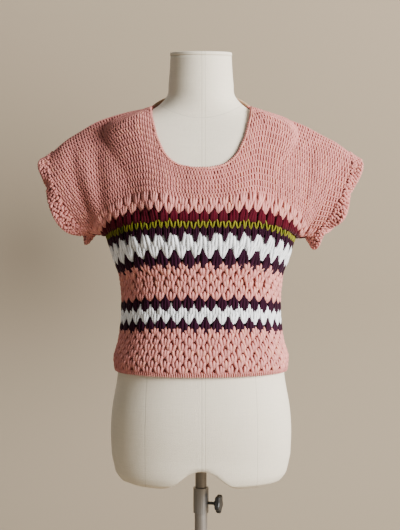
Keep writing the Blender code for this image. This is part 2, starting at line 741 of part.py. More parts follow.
def build_body(tree):
    """Front and back panels: rows raised on the outer face over a plain inner face."""
    heights, sunk = row_lines()
    inner_heights = np.linspace(BODY_TOP, HEM_HEIGHT, BODY_INNER_RINGS)
    hems = []
    for name, face in (("body_front", -1), ("body_back", 1)):
        outer, _ = body_sheet(tree, face, heights, sunk)
        inner, _ = body_sheet(tree, face, inner_heights, BODY_WALL)
        wall_solid(name, outer, inner, "pink_yarn")
        hems.append((outer[:, -1], inner[:, -1]))
    (front_outer, front_inner), (back_outer, back_inner) = hems
    outer = np.concatenate([front_outer[:-1], back_outer[::-1][:-1]])
    inner = np.concatenate([front_inner[:-1], back_inner[::-1][:-1]])
    build_hem_edging(outer, inner)


def build_hem_edging(outer, inner):
    """A narrow rounded band right below the last row, as wide as the wall and a little proud."""
    outward = unit(outer - inner)
    down = np.array([0.0, 0.0, -1.0])
    gap = SEAM_GAP * down
    tall = HEM_EDGING_HEIGHT * down
    proud = HEM_PROUD * outward
    sections = np.stack(
        [outer + gap, outer + gap + 0.6 * tall + proud, 0.5 * (outer + inner) + gap + tall,
         inner + gap + 0.6 * tall, inner + gap],
        axis=1,
    )
    ring_solid("hem_edging", sections, "pink_yarn")


def edge_frames(outer, inner, normals, count, side):
    """Middle line of a wall's edge as an even closed loop, with its normals and edge directions."""
    middle = 0.5 * (outer + inner)
    closed = np.concatenate([middle, middle[:1]])
    length = np.concatenate([[0.0], np.cumsum(np.linalg.norm(np.diff(closed, axis=0), axis=1))])
    at = np.linspace(0.0, length[-1], count, endpoint=False)
    facing = np.concatenate([normals, normals[:1]])
    loop = np.stack([np.interp(at, length, closed[:, k]) for k in range(3)], axis=-1)
    facing = unit(np.stack([np.interp(at, length, facing[:, k]) for k in range(3)], axis=-1))
    along = unit(np.roll(loop, -1, axis=0) - np.roll(loop, 1, axis=0))
    away = unit(np.cross(facing, along)) * side
    facing = unit(np.cross(along, away)) * side
    return loop, facing, away


def build_neck_edging(tree, front, back):
    """A thin roll round the neck opening, just clear of the yokes' edges and of the neck."""
    shares = yoke_shares()
    neck = int(np.argmax(shares >= neck_share() - 1e-9))
    middle = len(shares) - 1
    across = slice(middle - neck, middle + neck + 1)
    outer = np.concatenate([front[0][across, -1], back[0][across, -1][::-1][1:-1]])
    inner = np.concatenate([front[1][across, -1], back[1][across, -1][::-1][1:-1]])
    normals = np.concatenate([front[2][across, -1], back[2][across, -1][::-1][1:-1]])
    loop, facing, away = edge_frames(outer, inner, normals, NECK_ROLL_STEPS, 1.0)
    centre = loop + away * (NECK_ROLL + NECK_ROLL_GAP)
    centre = clear_of(tree, centre, NECK_ROLL + 0.5 * CLEAR_OF_FORM)
    turn = 2 * np.pi * np.arange(NECK_ROLL_SIDES) / NECK_ROLL_SIDES
    sections = centre[:, None] + NECK_ROLL * (
        np.cos(turn)[None, :, None] * away[:, None] + np.sin(turn)[None, :, None] * facing[:, None]
    )
    ring_solid("neck_edging", sections, "pink_yarn")


def lobe_shape(side, turn):
    """Each turn's rise and wave in its lobe: a rounded half sine wave, and a whole cosine."""
    rise = np.zeros(np.shape(turn))
    wave = np.zeros(np.shape(turn))
    for lobe in RUFFLE_LOBES[RUFFLE_LOBES["side"] == side]:
        width = lobe["end"] - lobe["start"]
        part = ((turn - lobe["start"]) % 1.0) / width
        inside = part < 1.0
        rounded = lobe["rise"] * np.sin(np.pi * np.minimum(part, 1.0)) ** RUFFLE_ROUNDNESS
        rise = np.where(inside, rounded, rise)
        wave = np.where(inside, -np.cos(2 * np.pi * part), wave)
    return rise, wave


def build_sleeve_edging(name, front, back, side):
    """A ruffle round the cuff in rounded lobes: its edge rises and swings out in each of them."""
    column = -1 if side > 0 else 0
    outer = np.concatenate([front[0][column], back[0][column][::-1][1:-1]])
    inner = np.concatenate([front[1][column], back[1][column][::-1][1:-1]])
    normals = np.concatenate([front[2][column], back[2][column][::-1][1:-1]])
    loop, facing, away = edge_frames(outer, inner, normals, RUFFLE_STEPS, -side)
    for _round in range(RUFFLE_SMOOTHING):
        away = unit(np.roll(away, 1, axis=0) + 2 * away + np.roll(away, -1, axis=0))
    low = 1.0 - (loop[:, 2] - loop[:, 2].min()) / np.ptp(loop[:, 2])
    away = unit(away - np.outer(RUFFLE_FALL[0] + RUFFLE_FALL[1] * low**3, (0.0, 0.0, 1.0)))
    rise, wave = lobe_shape(side, np.arange(len(loop)) / len(loop))
    depth = RUFFLE_DEPTH + rise
    sheets = []
    for way in (0.0, 0.5, 1.0):
        out = EDGING_GAP + (depth - EDGING_GAP) * way
        swing = RUFFLE_WAVE * wave * way**RUFFLE_WAVE_POWER
        sheets.append(loop + away * out[:, None] + facing * swing[:, None])
    sheets = np.stack(sheets, axis=1)
    around = np.roll(sheets, -1, axis=0) - np.roll(sheets, 1, axis=0)
    reach = np.gradient(sheets, axis=1)
    thick = unit(np.cross(around, reach)) * -side
    thick[:, 0] = facing
    thick = thick * (0.5 * RUFFLE_WALL)
    sections = np.concatenate([sheets + thick, (sheets - thick)[:, ::-1]], axis=1)
    ring_solid(name, sections, "pink_yarn")


def build_cloth(tree):
    """All pieces of the sweater."""
    build_body(tree)
    front = yoke_sheets(tree, -1)
    back = yoke_sheets(tree, 1)
    wall_solid("yoke_front", front[0], front[1], "pink_yarn")
    wall_solid("yoke_back", back[0], back[1], "pink_yarn")
    build_neck_edging(tree, front, back)
    build_sleeve_edging("sleeve_edging_left", front, back, -1)
    build_sleeve_edging("sleeve_edging_right", front, back, 1)


def screw_hole(name):
    """A cutter along the screw's axis, from the pole's middle out through its near side."""
    segments = 24
    vertices = []
    for out in (0.0, 2 * COLLAR_RADIUS):
        for step in range(segments):
            turn = 2 * math.pi * step / segments
            vertices.append((SCREW_HOLE * math.cos(turn), SCREW_HOLE * math.sin(turn), out))
    rings = [list(range(segments)), list(range(segments, 2 * segments))]
    faces = [tuple(rings[0][::-1]), tuple(rings[1])]
    for step in range(segments):
        after = (step + 1) % segments
        faces.append((rings[0][step], rings[0][after], rings[1][after], rings[1][step]))
    cutter = new_solid(name, vertices, faces, "steel")
    place_on_screw_axis(cutter)
    cutter.hide_render = True
    cutter.display_type = "WIRE"
    return cutter


def place_on_screw_axis(solid):
    """A solid turned about Z laid along the clamp screw's axis."""
    solid.location = (0.0, 0.0, SCREW_HEIGHT)
    solid.rotation_euler = (0.0, 0.5 * math.pi, SCREW_TURN)


def cut_away(solid, cutter):
    """The cutter taken out of a solid."""
    cut = solid.modifiers.new("screw hole", "BOOLEAN")
    cut.operation = "DIFFERENCE"
    cut.solver = "EXACT"
    cut.object = cutter


def build_clamp_screw():
    """The screw's shank and its lobed knob, one turned piece whose origin is on its axis."""
    segments = 6 * KNOB_LOBES
    turn = 2 * np.pi * np.arange(segments) / segments
    circle = np.stack([np.cos(turn), np.sin(turn)], axis=-1)
    lobed = (KNOB_RADIUS - KNOB_LOBE * (1 - np.cos(KNOB_LOBES * turn)))[:, None] * circle
    rings = [
        (SCREW_RADIUS * circle, SCREW_TIP),
        (SCREW_RADIUS * circle, KNOB_START - KNOB_NECK_HEIGHT),
        (KNOB_NECK[0] * circle, KNOB_START - KNOB_NECK_HEIGHT),
        (KNOB_NECK[1] * circle, KNOB_START),
        (lobed * 0.90, KNOB_START),
        (lobed, KNOB_START + KNOB_EDGE),
        (lobed, KNOB_START + KNOB_THICKNESS - KNOB_EDGE),
        (lobed * 0.88, KNOB_START + KNOB_THICKNESS),
    ]
    points = np.array([np.column_stack([ring, np.full(segments, out)]) for ring, out in rings])
    index = np.arange(points.shape[0] * segments).reshape(points.shape[:2])
    faces = grid_faces(index.T, wrap=True)
    faces.append(tuple(int(i) for i in index[0]))
    faces.append(tuple(int(i) for i in index[-1][::-1]))
    place_on_screw_axis(new_solid("clamp_screw", points.reshape(-1, 3), faces, "black_plastic"))


def build_stand():
    """The pole's two tubes, the clamp, and the base."""
    low, high = INNER_TUBE_SPAN
    bore = INNER_TUBE_RADIUS - INNER_TUBE_WALL
    turned_solid("inner_tube", [(INNER_TUBE_RADIUS, low), (INNER_TUBE_RADIUS, high), (bore, high), (bore, low)],
                 "steel")
    cutter = screw_hole("screw_hole_cutter")
    low, high = OUTER_TUBE_SPAN
    profile = [(OUTER_TUBE_RADIUS, low), (OUTER_TUBE_RADIUS, high), (OUTER_TUBE_BORE, high), (OUTER_TUBE_BORE, low)]
    cut_away(turned_solid("outer_tube", profile, "steel"), cutter)
    low, high = COLLAR_SPAN
    lip = OUTER_TUBE_SPAN[1] + SEAM_GAP
    profile = [(COLLAR_RADIUS, low), (COLLAR_RADIUS, high), (COLLAR_LIP_BORE, high), (COLLAR_LIP_BORE, lip),
               (COLLAR_BORE, lip), (COLLAR_BORE, low)]
    cut_away(turned_solid("clamp_collar", profile, "steel"), cutter)
    build_clamp_screw()
    turned_solid("base_plate", [(0, 0), (BASE_RADIUS - BASE_EDGE, 0), (BASE_RADIUS, BASE_EDGE),
                                (BASE_RADIUS, BASE_THICKNESS - BASE_EDGE),
                                (BASE_RADIUS - BASE_EDGE, BASE_THICKNESS),
                                (0, BASE_THICKNESS)], "steel", segments=48)
    low = BASE_THICKNESS + SEAM_GAP
    profile = [(COLLAR_BORE, low), (BOSS_RADIUS, low), (BOSS_RADIUS, low + BOSS_SHOULDER[1] * BOSS_HEIGHT),
               (BOSS_SHOULDER[0] * BOSS_RADIUS, low + BOSS_HEIGHT), (COLLAR_BORE, low + BOSS_HEIGHT)]
    turned_solid("base_boss", profile, "steel")


def main():
    """Clear the scene and build every piece."""
    for old in list(bpy.data.objects):
        bpy.data.objects.remove(old)
    tree = build_form()
    build_cloth(tree)
    build_stand()


main()
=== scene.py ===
import math
from collections import namedtuple
import bpy
import numpy as np
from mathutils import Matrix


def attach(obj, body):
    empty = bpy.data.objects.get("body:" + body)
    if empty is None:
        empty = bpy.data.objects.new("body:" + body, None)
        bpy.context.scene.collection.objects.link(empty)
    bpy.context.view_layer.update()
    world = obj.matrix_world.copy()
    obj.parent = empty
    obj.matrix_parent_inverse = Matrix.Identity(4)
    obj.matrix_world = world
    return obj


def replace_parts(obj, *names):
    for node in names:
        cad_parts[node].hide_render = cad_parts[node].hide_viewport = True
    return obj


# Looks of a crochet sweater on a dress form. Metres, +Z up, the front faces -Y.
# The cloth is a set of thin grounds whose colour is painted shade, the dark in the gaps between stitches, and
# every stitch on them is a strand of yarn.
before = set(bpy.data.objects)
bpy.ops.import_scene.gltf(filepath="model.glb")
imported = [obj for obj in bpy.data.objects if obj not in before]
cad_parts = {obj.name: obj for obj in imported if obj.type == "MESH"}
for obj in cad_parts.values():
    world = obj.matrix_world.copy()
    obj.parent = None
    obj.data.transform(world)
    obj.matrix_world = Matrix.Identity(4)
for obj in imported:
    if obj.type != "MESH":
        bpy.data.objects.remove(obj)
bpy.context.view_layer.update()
rng = np.random.default_rng(41)


def make_table(columns, *rows):
    """A table of numbers, with a name for each column."""
    return np.array(list(rows), dtype=[(name, float) for name in columns.split()])


# Sizes that are shared with the part's source
WALL = 0.0030
BODY_WALL = 0.0048
CLEAR_OF_FORM = 0.0027
HEM_HEIGHT = 0.9270
BODY_TOP = 1.2135
SIDE_LINE_Y = 0.004
RIDGE_Y = 0.010
CUFF_CORNER = (0.2030, 1.1780)
CUFF_FLARE = {-1: 1.25, 1: 1.0}
DROOP_SHARE_AT_BACK = 0.45
DROOP_POWER = 3.5
DROOP_SIDE = {-1: 0.95, 1: 1.06}
RIDGE_TILT = 0.004
CORNER_TILT = 0.004
YOKE_FRONT_DIP = 0.0020
NECK_HALF_WIDTH = 0.0990
NECK_DEPTH_HEIGHT = 1.3110
RUFFLE_STEPS = 56
RUFFLE_DEPTH = 0.0060
RUFFLE_ROUNDNESS = 0.35
RUFFLE_FALL = (0.12, 0.90)
RUFFLE_SMOOTHING = 4
RUFFLE_WAVE = 0.0080
RUFFLE_WAVE_POWER = 1.3
NECK_TOP = 1.5225
SEAT_GAP = 0.0003
LOBE_HEIGHT = 0.6970
NOTCH_RISE = 0.0400
NOTCH_WIDTH = 0.0470
NOTCH_POWER = 2.6
SOCKET_RADIUS = 0.0113
SOCKET_TOP = 0.8403
BUST_RISE = 0.0170
BUST_CENTRE = (0.0780, 1.2350)
BUST_SPREAD = (0.0480, 0.0560)
SIDE_HEIGHTS = (1.10, 1.19)
NECK_INSET = (0.080, 0.020)
SEAM_TURNS = 61
SLEEVE_SEAM_STEPS = 13
HEM_TURN_HEIGHT = 0.9215
DRAPE_COLUMNS = 49
DRAPE_ROUNDS = 60

# The yoke's rows, counted up from its lower edge, as lengths along the cloth
BURGUNDY_ROW = 0.0210
GRANNY_ROW = 0.0180
CLUSTER_PITCH = 0.0186
TREBLE_ROW = 0.0122
TREBLE_PITCH = 0.0056
YOKE_ROWS = (  # depth, pile, shape, reach down and up
    (BURGUNDY_ROW, "burgundy", "bud", 0.80, 0.92),
    (GRANNY_ROW, "cluster", "shell", 0.62, 0.84),
    (GRANNY_ROW, "cluster", "shell", 0.84, 0.80),
)
YOKE_CLUSTER_SIZE = {"burgundy": 1.30, "cluster": 1.08}

# The ruffles' rows of puffs: where each row lies on the way out from the cuff, and how many puffs it has
RUFFLE_ROWS = ((0.00, 72), (0.16, 70), (0.32, 72), (0.48, 74), (0.64, 76), (0.78, 78))

# Clusters: how far strands and their ends stray, their yarn in pitches, how they rise and sink in
CLUSTER_STRAY = 0.032
CLUSTER_END_STRAY = 0.035
CLUSTER_YARN = 0.150
CLUSTER_ROUNDNESS = 0.7
CLUSTER_RISE = 0.0022
CLUSTER_SUNK = 0.0024
OUTER_STRAND_SUNK = 0.0003

# Trebles: slant and yarn of a post in pitches, its least share of the row, and the loop on it
POST_SLANT = -0.32
POST_YARN = 0.385
SHORTEST_POST = 0.25
POST_FOOT = 0.02
POST_REACH = 0.90
LOOP_LENGTH = 1.15
LOOP_YARN = 0.0012
LOOP_SLOPE = 0.10
LOOP_DROP = 0.03

# Zigzag: half a stitch's width in pitches, its bow, and its foot and height in the row
ZIGZAG_YARN = 0.0019
ZIGZAG_HALF = 0.48
ZIGZAG_BOW = 0.06
ZIGZAG_FOOT = 0.08
ZIGZAG_HEIGHT = 0.85
ZIGZAG_STRAY = {"half": 0.08, "height": 0.09, "foot": 0.06}

# How far single stitches stray aside in pitches, and how much the strands differ in thickness
SIDE_STRAY = 0.05
THICKNESS_STRAY = {"cluster": 0.08, "post": 0.06, "puff": 0.10}

# The ruffles' puffs, which lean to and fro by rows, and the loops along their edges
PUFF_YARN = 0.0026
PUFF_LEAN = 0.55
PUFF_REACH = 0.17
PUFF_STRAY = {"aside": 0.18, "lean": 0.25, "reach": 0.035}
EDGE_YARN = 0.0022
EDGE_LOOPS = 96
EDGE_LOOP_LENGTH = 1.2
EDGE_START = 0.94
EDGE_BEND = 0.06
EDGE_SWING = 0.0008

# The neck's stitches bend over the cloth's edge, and the hem's stand along it, with cords inside
EDGING_CORD = 0.0019
NECK_YARN = 0.0018
NECK_STITCHES = 150
NECK_SLANT = 0.5
NECK_OUT = 0.0014
NECK_BEND = 0.0022
NECK_CORD_OUT = 0.0012
NECK_BACK_FROM = 0.008
HEM_YARN = 0.40
HEM_STITCHES = 214
HEM_SLANT = 0.25
HEM_STITCH_TOP = 0.0015
HEM_STITCH_LENGTH = 0.0085
HEM_STITCH_MIDDLE = 0.0035
HEM_CORDS = ((0.0015, 0.0021), (0.0050, EDGING_CORD))
HEM_CORD_IN = 0.0026

# Depths of the grounds' two faces under the cloth's outer face, half a ruffle's ground, and the turn
BODY_GROUND = (0.0030, 0.0044)
YOKE_GROUND = (0.0020, 0.0030)
RUFFLE_GROUND = 0.0006
FULL_TURN = (-0.5 * np.pi, 1.5 * np.pi)
FACE_NAMES = {-1: "front", 1: "back"}

# Length of yarn in which its plies wind once round, the share of fine bumps, and the form's linen
YARN_TURN = 0.0260
FINE_SHARE = 0.35
TORSO_SEGMENTS = 144
CAP_SEGMENTS = 128
LINEN_THREAD = 0.0011
LINEN = (0.765, 0.695, 0.560)
CENTRE_SEAMS = (0.0010, 0.0075)
NECK_SEAM = (1.4035, 4.0)
PRINCESS_TOP = 0.932
NO_SEAM = 0.05

# The stage, its lights and the camera
PAPER = (0.368, 0.304, 0.222)
# A soft painted shadow on the paper: its size, its place and its darkest share.
PAINTED_SHADOW_SCALE = (1.25, 0.60, 1.25)
PAINTED_SHADOW_PLACE = (0.75, -1.25, -1.20)
PAINTED_SHADOW_DARKEST = 0.52
WALL_Y = 2.2
WALL_BEND = 0.8
SKY = (0.73, 0.70, 0.66, 1.0)
SKY_STRENGTH = 0.30
LIGHTS = (  # name, place, target, size, power, colour
    ("key", (2.55, -1.7, 2.12), (0.0, 0.0, 1.15), 1.6, 355.0, (1.0, 0.985, 0.97)),
    ("fill", (-2.4, -2.4, 1.7), (0.0, 0.0, 1.15), 2.2, 6.0, (0.94, 0.98, 1.0)),
    ("wall", (1.2, 0.9, 2.9), (0.2, 2.2, 1.3), 1.6, 30.0, (1.0, 0.96, 0.90)),
    ("back", (-0.7, 1.85, 2.5), (0.0, 0.0, 1.15), 1.2, 18.0, (1.0, 0.98, 0.96)),
)
LENS = 97.394
CAMERA_PLACE = (-0.00189, -2.76728, 1.38229)
CAMERA_PITCH = 2.4319
CAMERA_SHIFT = -75 / 530

FORM_SECTIONS = make_table(
    "height half_width front back power",
    (0.7550, 0.1735, 0.0950, 0.1120, 2.4),
    (0.8000, 0.1750, 0.1020, 0.1210, 2.4),
    (0.8400, 0.1725, 0.1050, 0.1240, 2.4),
    (0.9000, 0.1625, 0.1035, 0.1220, 2.3),
    (0.9430, 0.1575, 0.1010, 0.1170, 2.3),
    (1.0000, 0.1475, 0.0950, 0.1060, 2.3),
    (1.0450, 0.1450, 0.0935, 0.1020, 2.3),
    (1.1000, 0.1490, 0.0980, 0.1035, 2.3),
    (1.1500, 0.1590, 0.1040, 0.1060, 2.3),
    (1.2000, 0.1650, 0.1070, 0.1080, 2.3),
    (1.2500, 0.1690, 0.1065, 0.1100, 2.3),
    (1.3000, 0.1730, 0.1000, 0.1100, 2.3),
    (1.3400, 0.1790, 0.0880, 0.1060, 2.4),
    (1.3680, 0.1820, 0.0760, 0.0990, 2.5),
    (1.3830, 0.1780, 0.0690, 0.0930, 2.5),
    (1.3940, 0.1640, 0.0640, 0.0880, 2.4),
    (1.4030, 0.1400, 0.0600, 0.0830, 2.3),
    (1.4110, 0.1160, 0.0570, 0.0790, 2.2),
    (1.4190, 0.0950, 0.0555, 0.0755, 2.1),
    (1.4290, 0.0800, 0.0545, 0.0720, 2.0),
    (1.4440, 0.0665, 0.0535, 0.0680, 2.0),
    (1.4700, 0.0625, 0.0520, 0.0640, 2.0),
    (1.5000, 0.0600, 0.0510, 0.0620, 2.0),
    (NECK_TOP, 0.0590, 0.0505, 0.0610, 2.0),
)

FORM_UNDERSIDE = make_table(
    "share rise",  # share of the lowest section, height above the lobes
    (0.985, 0.0440),
    (0.955, 0.0220),
    (0.900, 0.0090),
    (0.800, 0.0020),
    (0.620, 0.0000),
    (0.420, 0.0000),
    (0.220, 0.0000),
)

BODY_SECTIONS = make_table(
    "height half_width front back power",
    (0.9200, 0.1655, 0.1105, 0.1290, 2.3),
    (0.9430, 0.1675, 0.1105, 0.1270, 2.3),
    (0.9700, 0.1600, 0.1080, 0.1210, 2.3),
    (1.0000, 0.1535, 0.1060, 0.1150, 2.3),
    (1.0450, 0.1515, 0.1055, 0.1120, 2.3),
    (1.0750, 0.1530, 0.1070, 0.1120, 2.3),
    (1.1050, 0.1565, 0.1110, 0.1125, 2.3),
    (1.1250, 0.1655, 0.1160, 0.1135, 2.3),
    (1.1500, 0.1740, 0.1230, 0.1150, 2.3),
    (1.1720, 0.1820, 0.1280, 0.1165, 2.3),
    (1.1940, 0.1870, 0.1310, 0.1180, 2.3),
    (1.2350, 0.1890, 0.1340, 0.1190, 2.3),
)

DROOP = make_table(
    "height drop",  # height at the centre front, how much lower the row hangs at the side
    (0.9150, 0.000),
    (0.9300, 0.003),
    (1.0180, 0.015),
    (1.0570, 0.016),
    (1.1430, 0.029),
    (1.1920, 0.033),
    (1.2344, 0.041),
)

SHOULDER_RIDGE = make_table(
    "out height",
    (0.0990, 1.4225),
    (0.1350, 1.4145),
    (0.1700, 1.4035),
    (0.1990, 1.3930),
    (0.2330, 1.3740),
    (0.2620, 1.3570),
    (0.2870, 1.3370),
)

BACK_NECKLINE = make_table(
    "out depth height",
    (0.0000, 0.0790, 1.4470),
    (0.0300, 0.0765, 1.4465),
    (0.0550, 0.0660, 1.4440),
    (0.0760, 0.0450, 1.4370),
    (0.0990, RIDGE_Y, 1.4225),
)

FRONT_NECKLINE = make_table(
    "height half_width",  # height, half width of the opening
    (1.3090, 0.0200),
    (1.3110, 0.0300),
    (1.3140, 0.0420),
    (1.3185, 0.0510),
    (1.3256, 0.0605),
    (1.3416, 0.0737),
    (1.3577, 0.0810),
    (1.3847, 0.0922),
    (1.4169, 0.0972),
    (1.4225, 0.0990),
)

YOKE_PATHS = make_table(
    "share bulge round flare",  # share of the way to the cuff, bulge, roundness, outward flare
    (0.00, 0.010, 0.00, 0.000),
    (0.35, 0.013, 0.00, 0.000),
    (0.50, 0.023, 0.10, 0.000),
    (0.62, 0.034, 0.28, 0.001),
    (0.78, 0.046, 0.68, 0.006),
    (0.92, 0.051, 1.00, 0.015),
    (1.00, 0.050, 1.00, 0.020),
)

YOKE_FOLDS = make_table(
    "side face share width depth lean",  # side -1 is the viewer's left, face -1 the front
    (-1, -1, 0.70, 0.056, 0.0055, -0.060),
    (-1, -1, 0.86, 0.042, 0.0042, -0.040),
    (1, -1, 0.74, 0.045, 0.0055, -0.080),
    (-1, 1, 0.72, 0.050, 0.0070, -0.040),
    (1, 1, 0.70, 0.050, 0.0060, -0.050),
)

RUFFLE_LOBES = make_table(
    "side start end rise",  # its ends are turns round the cuff from the underarm
    (-1, -0.085, 0.045, 0.0170),
    (-1, 0.045, 0.335, 0.0220),
    (-1, 0.335, 0.530, 0.0145),
    (-1, 0.530, 0.730, 0.0190),
    (-1, 0.730, 0.915, 0.0200),
    (1, -0.075, 0.120, 0.0160),
    (1, 0.120, 0.300, 0.0180),
    (1, 0.300, 0.540, 0.0145),
    (1, 0.540, 0.740, 0.0205),
    (1, 0.740, 0.925, 0.0200),
)

PRINCESS_SEAM = make_table(
    "height out",  # height, distance of the form's side-front seam from the centre
    (0.6900, 0.1060),
    (0.8400, 0.1057),
    (0.9240, 0.1010),
    (1.0450, 0.0760),
)

RowGroup = namedtuple("RowGroup", "rows top bottom yarn count size shape down up")
BODY_ROWS = (  # rows, top, bottom, yarn, clusters round the body, strand size, shape, reach down and up
    RowGroup(1, 1.2135, 1.2000, "green", 84, 1.00, "zigzag", 0.62, 0.78),
    RowGroup(1, 1.2000, 1.1850, "purple", 72, 1.00, "tooth", 1.30, 0.95),
    RowGroup(1, 1.1850, 1.16775, "white", 36, 0.92, "peak", 0.92, 0.90),
    RowGroup(1, 1.16775, 1.1505, "white", 36, 0.92, "tooth", 0.90, 0.92),
    RowGroup(1, 1.1505, 1.1340, "purple", 36, 1.12, "diamond", 1.25, 1.15),
    RowGroup(3, 1.1340, 1.10025, "pink", 36, 1.02, "shell", 0.82, 0.82),
    RowGroup(3, 1.10025, 1.0665, "pink", 40, 1.02, "shell", 0.82, 0.82),
    RowGroup(1, 1.0665, 1.0510, "purple", 40, 1.08, "bud", 1.15, 0.95),
    RowGroup(1, 1.0510, 1.03775, "white", 40, 0.95, "peak", 0.92, 0.92),
    RowGroup(1, 1.03775, 1.0245, "white", 40, 0.95, "tooth", 0.92, 0.92),
    RowGroup(1, 1.0245, 1.0115, "purple", 40, 1.12, "diamond", 1.20, 1.10),
    RowGroup(8, 1.0115, HEM_HEIGHT, "pink", 40, 1.00, "shell", 0.84, 0.82),
)

CAP_PROFILE = make_table(
    "scale rise",  # scale of the neck's section, height above the cap's underside
    (0.020, 0.0),
    (0.990, 0.0),
    (1.012, 0.0010),
    (1.018, 0.0022),
    (1.010, 0.0032),
    (1.012, 0.0045),
    (1.006, 0.0058),
    (0.985, 0.0066),
    (0.900, 0.0070),
    (0.020, 0.0070),
)

CLUSTER_WAY = (0.0, 0.25, 0.5, 0.75, 1.0)
CLUSTER_SHAPES = {  # the outer strands' distance from the middle one, in pitches, from foot to head
    "shell": (0.08, 0.18, 0.26, 0.31, 0.27),
    "peak": (0.28, 0.27, 0.23, 0.16, 0.09),
    "tooth": (0.09, 0.16, 0.23, 0.27, 0.28),
    "diamond": (0.11, 0.25, 0.25, 0.15, 0.03),
    "bud": (0.17, 0.28, 0.29, 0.20, 0.05),
}
STRAND_SHAPES = {  # a strand's thickness from foot to head
    "shell": (0.60, 0.95, 1.05, 1.00, 0.60),
    "peak": (0.85, 1.05, 1.05, 1.00, 0.70),
    "tooth": (0.70, 1.00, 1.05, 1.05, 0.85),
    "diamond": (0.70, 1.10, 1.10, 0.85, 0.35),
    "bud": (0.70, 1.10, 1.15, 0.95, 0.40),
}

SINGLE_STRANDS = {  # places along a single strand and its thickness there
    "zigzag": ((0.0, 0.3, 0.8, 1.0), (0.8, 1.0, 1.0, 0.8)),
    "post": ((0.0, 0.2, 0.55, 0.8, 1.0), (0.75, 1.0, 0.88, 1.05, 0.75)),
    "loop": ((0.0, 0.33, 0.67, 1.0), (0.5, 1.0, 1.0, 0.5)),
    "puff": ((0.0, 0.25, 0.75, 1.0), (0.45, 1.0, 1.0, 0.45)),
    "edge": ((0.0, 0.3, 0.7, 1.0), (0.6, 1.0, 1.0, 0.6)),
    "neck": ((0.0, 0.3, 0.7, 1.0), (0.7, 1.0, 1.0, 0.7)),
    "hem": ((0.0, 0.3, 0.8, 1.0), (0.7, 1.0, 1.0, 0.6)),
}
STRAND_RISES = {  # how high a single strand's middle rises over its ends, and how deep they lie
    "zigzag": (0.0008, 0.0012),
    "post": (0.0010, 0.0017),
    "loop": (0.0011, 0.0013),
    "puff": (0.0020, -0.0008),
    "hem": (0.0010, 0.0016),
}

YARNS = {  # slot, linear colour, painted shade colour for the hollows between plies and for the ground behind the stitches, colour of the odd strand
    "pink": ("pink_yarn", (0.650, 0.262, 0.238), (0.280, 0.086, 0.072), (0.620, 0.270, 0.210)),
    "tan": ("pink_yarn", (0.480, 0.330, 0.205), (0.160, 0.090, 0.055), (0.400, 0.290, 0.190)),
    "burgundy": ("burgundy_yarn", (0.062, 0.0004, 0.007), (0.028, 0.0004, 0.003), (0.054, 0.0008, 0.005)),
    "green": ("green_yarn", (0.205, 0.195, 0.014), (0.022, 0.020, 0.002), (0.065, 0.080, 0.006)),
    "purple": ("purple_yarn", (0.023, 0.0015, 0.012), (0.008, 0.0006, 0.004), (0.018, 0.0015, 0.012)),
    "white": ("white_yarn", (0.870, 0.900, 0.930), (0.380, 0.385, 0.395), (0.810, 0.840, 0.870)),
}


def smooth_read(table, column, at):
    """A table's column as a smooth curve: cubic pieces with slopes from the neighbours."""
    keys = table[table.dtype.names[0]]
    values = table[column]
    slopes = np.gradient(values, keys)
    at = np.clip(at, keys[0], keys[-1])
    left = np.clip(np.searchsorted(keys, at, side="right") - 1, 0, len(keys) - 2)
    span = keys[left + 1] - keys[left]
    part = (at - keys[left]) / span
    rise = values[left] * (1 + 2 * part) * (1 - part) ** 2
    rise = rise + values[left + 1] * part**2 * (3 - 2 * part)
    lean = slopes[left] * part * (1 - part) ** 2 - slopes[left + 1] * part**2 * (1 - part)
    return rise + lean * span


def section_point(table, angle, height):
    """A rounded section: |x/a|^n + |y/b|^n = 1 at the angle from the centre front."""
    power = smooth_read(table, "power", height)
    across = np.sign(np.sin(angle)) * np.abs(np.sin(angle)) ** (2 / power)
    along = np.sign(np.cos(angle)) * np.abs(np.cos(angle)) ** (2 / power)
    front = smooth_read(table, "front", height)
    back = smooth_read(table, "back", height)
    x = smooth_read(table, "half_width", height) * across
    y = np.where(along > 0, -front * along, -back * along)
    return x, y


def unit(vectors):
    """Vectors brought to length one along the last axis."""
    return vectors / np.maximum(np.linalg.norm(vectors, axis=-1, keepdims=True), 1e-12)


def lengths_along(points):
    """How far along a line each of its points lies."""
    steps = np.linalg.norm(np.diff(points, axis=0), axis=1)
    return np.concatenate([[0.0], np.cumsum(steps)])


def line_length(points):
    """A line's whole length."""
    return float(np.linalg.norm(np.diff(points, axis=0), axis=1).sum())


def read_line(at, length, line):
    """Places at given lengths along a line, as straight blends between its points."""
    return np.stack([np.interp(at, length, line[:, k]) for k in range(3)], axis=-1)


def bust_rise(x, height):
    """How far the form's front stands out: two round hills, one each side."""
    across = (np.abs(x) - BUST_CENTRE[0]) / BUST_SPREAD[0]
    up = (height - BUST_CENTRE[1]) / BUST_SPREAD[1]
    return BUST_RISE * np.exp(-(across**2) - up**2)


def form_level(points):
    """One on the form's skin, less inside and more outside: the section's own measure."""
    x = points[..., 0]
    y = points[..., 1]
    z = points[..., 2]
    y = np.where(y < 0, np.minimum(y + bust_rise(x, z), 0.0), y)
    power = smooth_read(FORM_SECTIONS, "power", z)
    deep = np.where(y < 0, smooth_read(FORM_SECTIONS, "front", z), smooth_read(FORM_SECTIONS, "back", z))
    wide = smooth_read(FORM_SECTIONS, "half_width", z)
    return (np.abs(x / wide) ** power + np.abs(y / deep) ** power + 1e-12) ** (1 / power)


def clear_of_form(points, gap):
    """Points moved out along the level's slope until they lie the gap away from the form."""
    step = 5e-4
    for _round in range(3):
        slope = [form_level(points + step * axis) - form_level(points - step * axis) for axis in np.eye(3)]
        slope = np.stack(slope, axis=-1) / (2 * step)
        steep = np.maximum(np.linalg.norm(slope, axis=-1), 1e-6)
        away = (form_level(points) - 1) / steep
        push = np.clip(gap - away, 0.0, 0.02)
        points = points + slope / steep[..., None] * push[..., None]
    return points


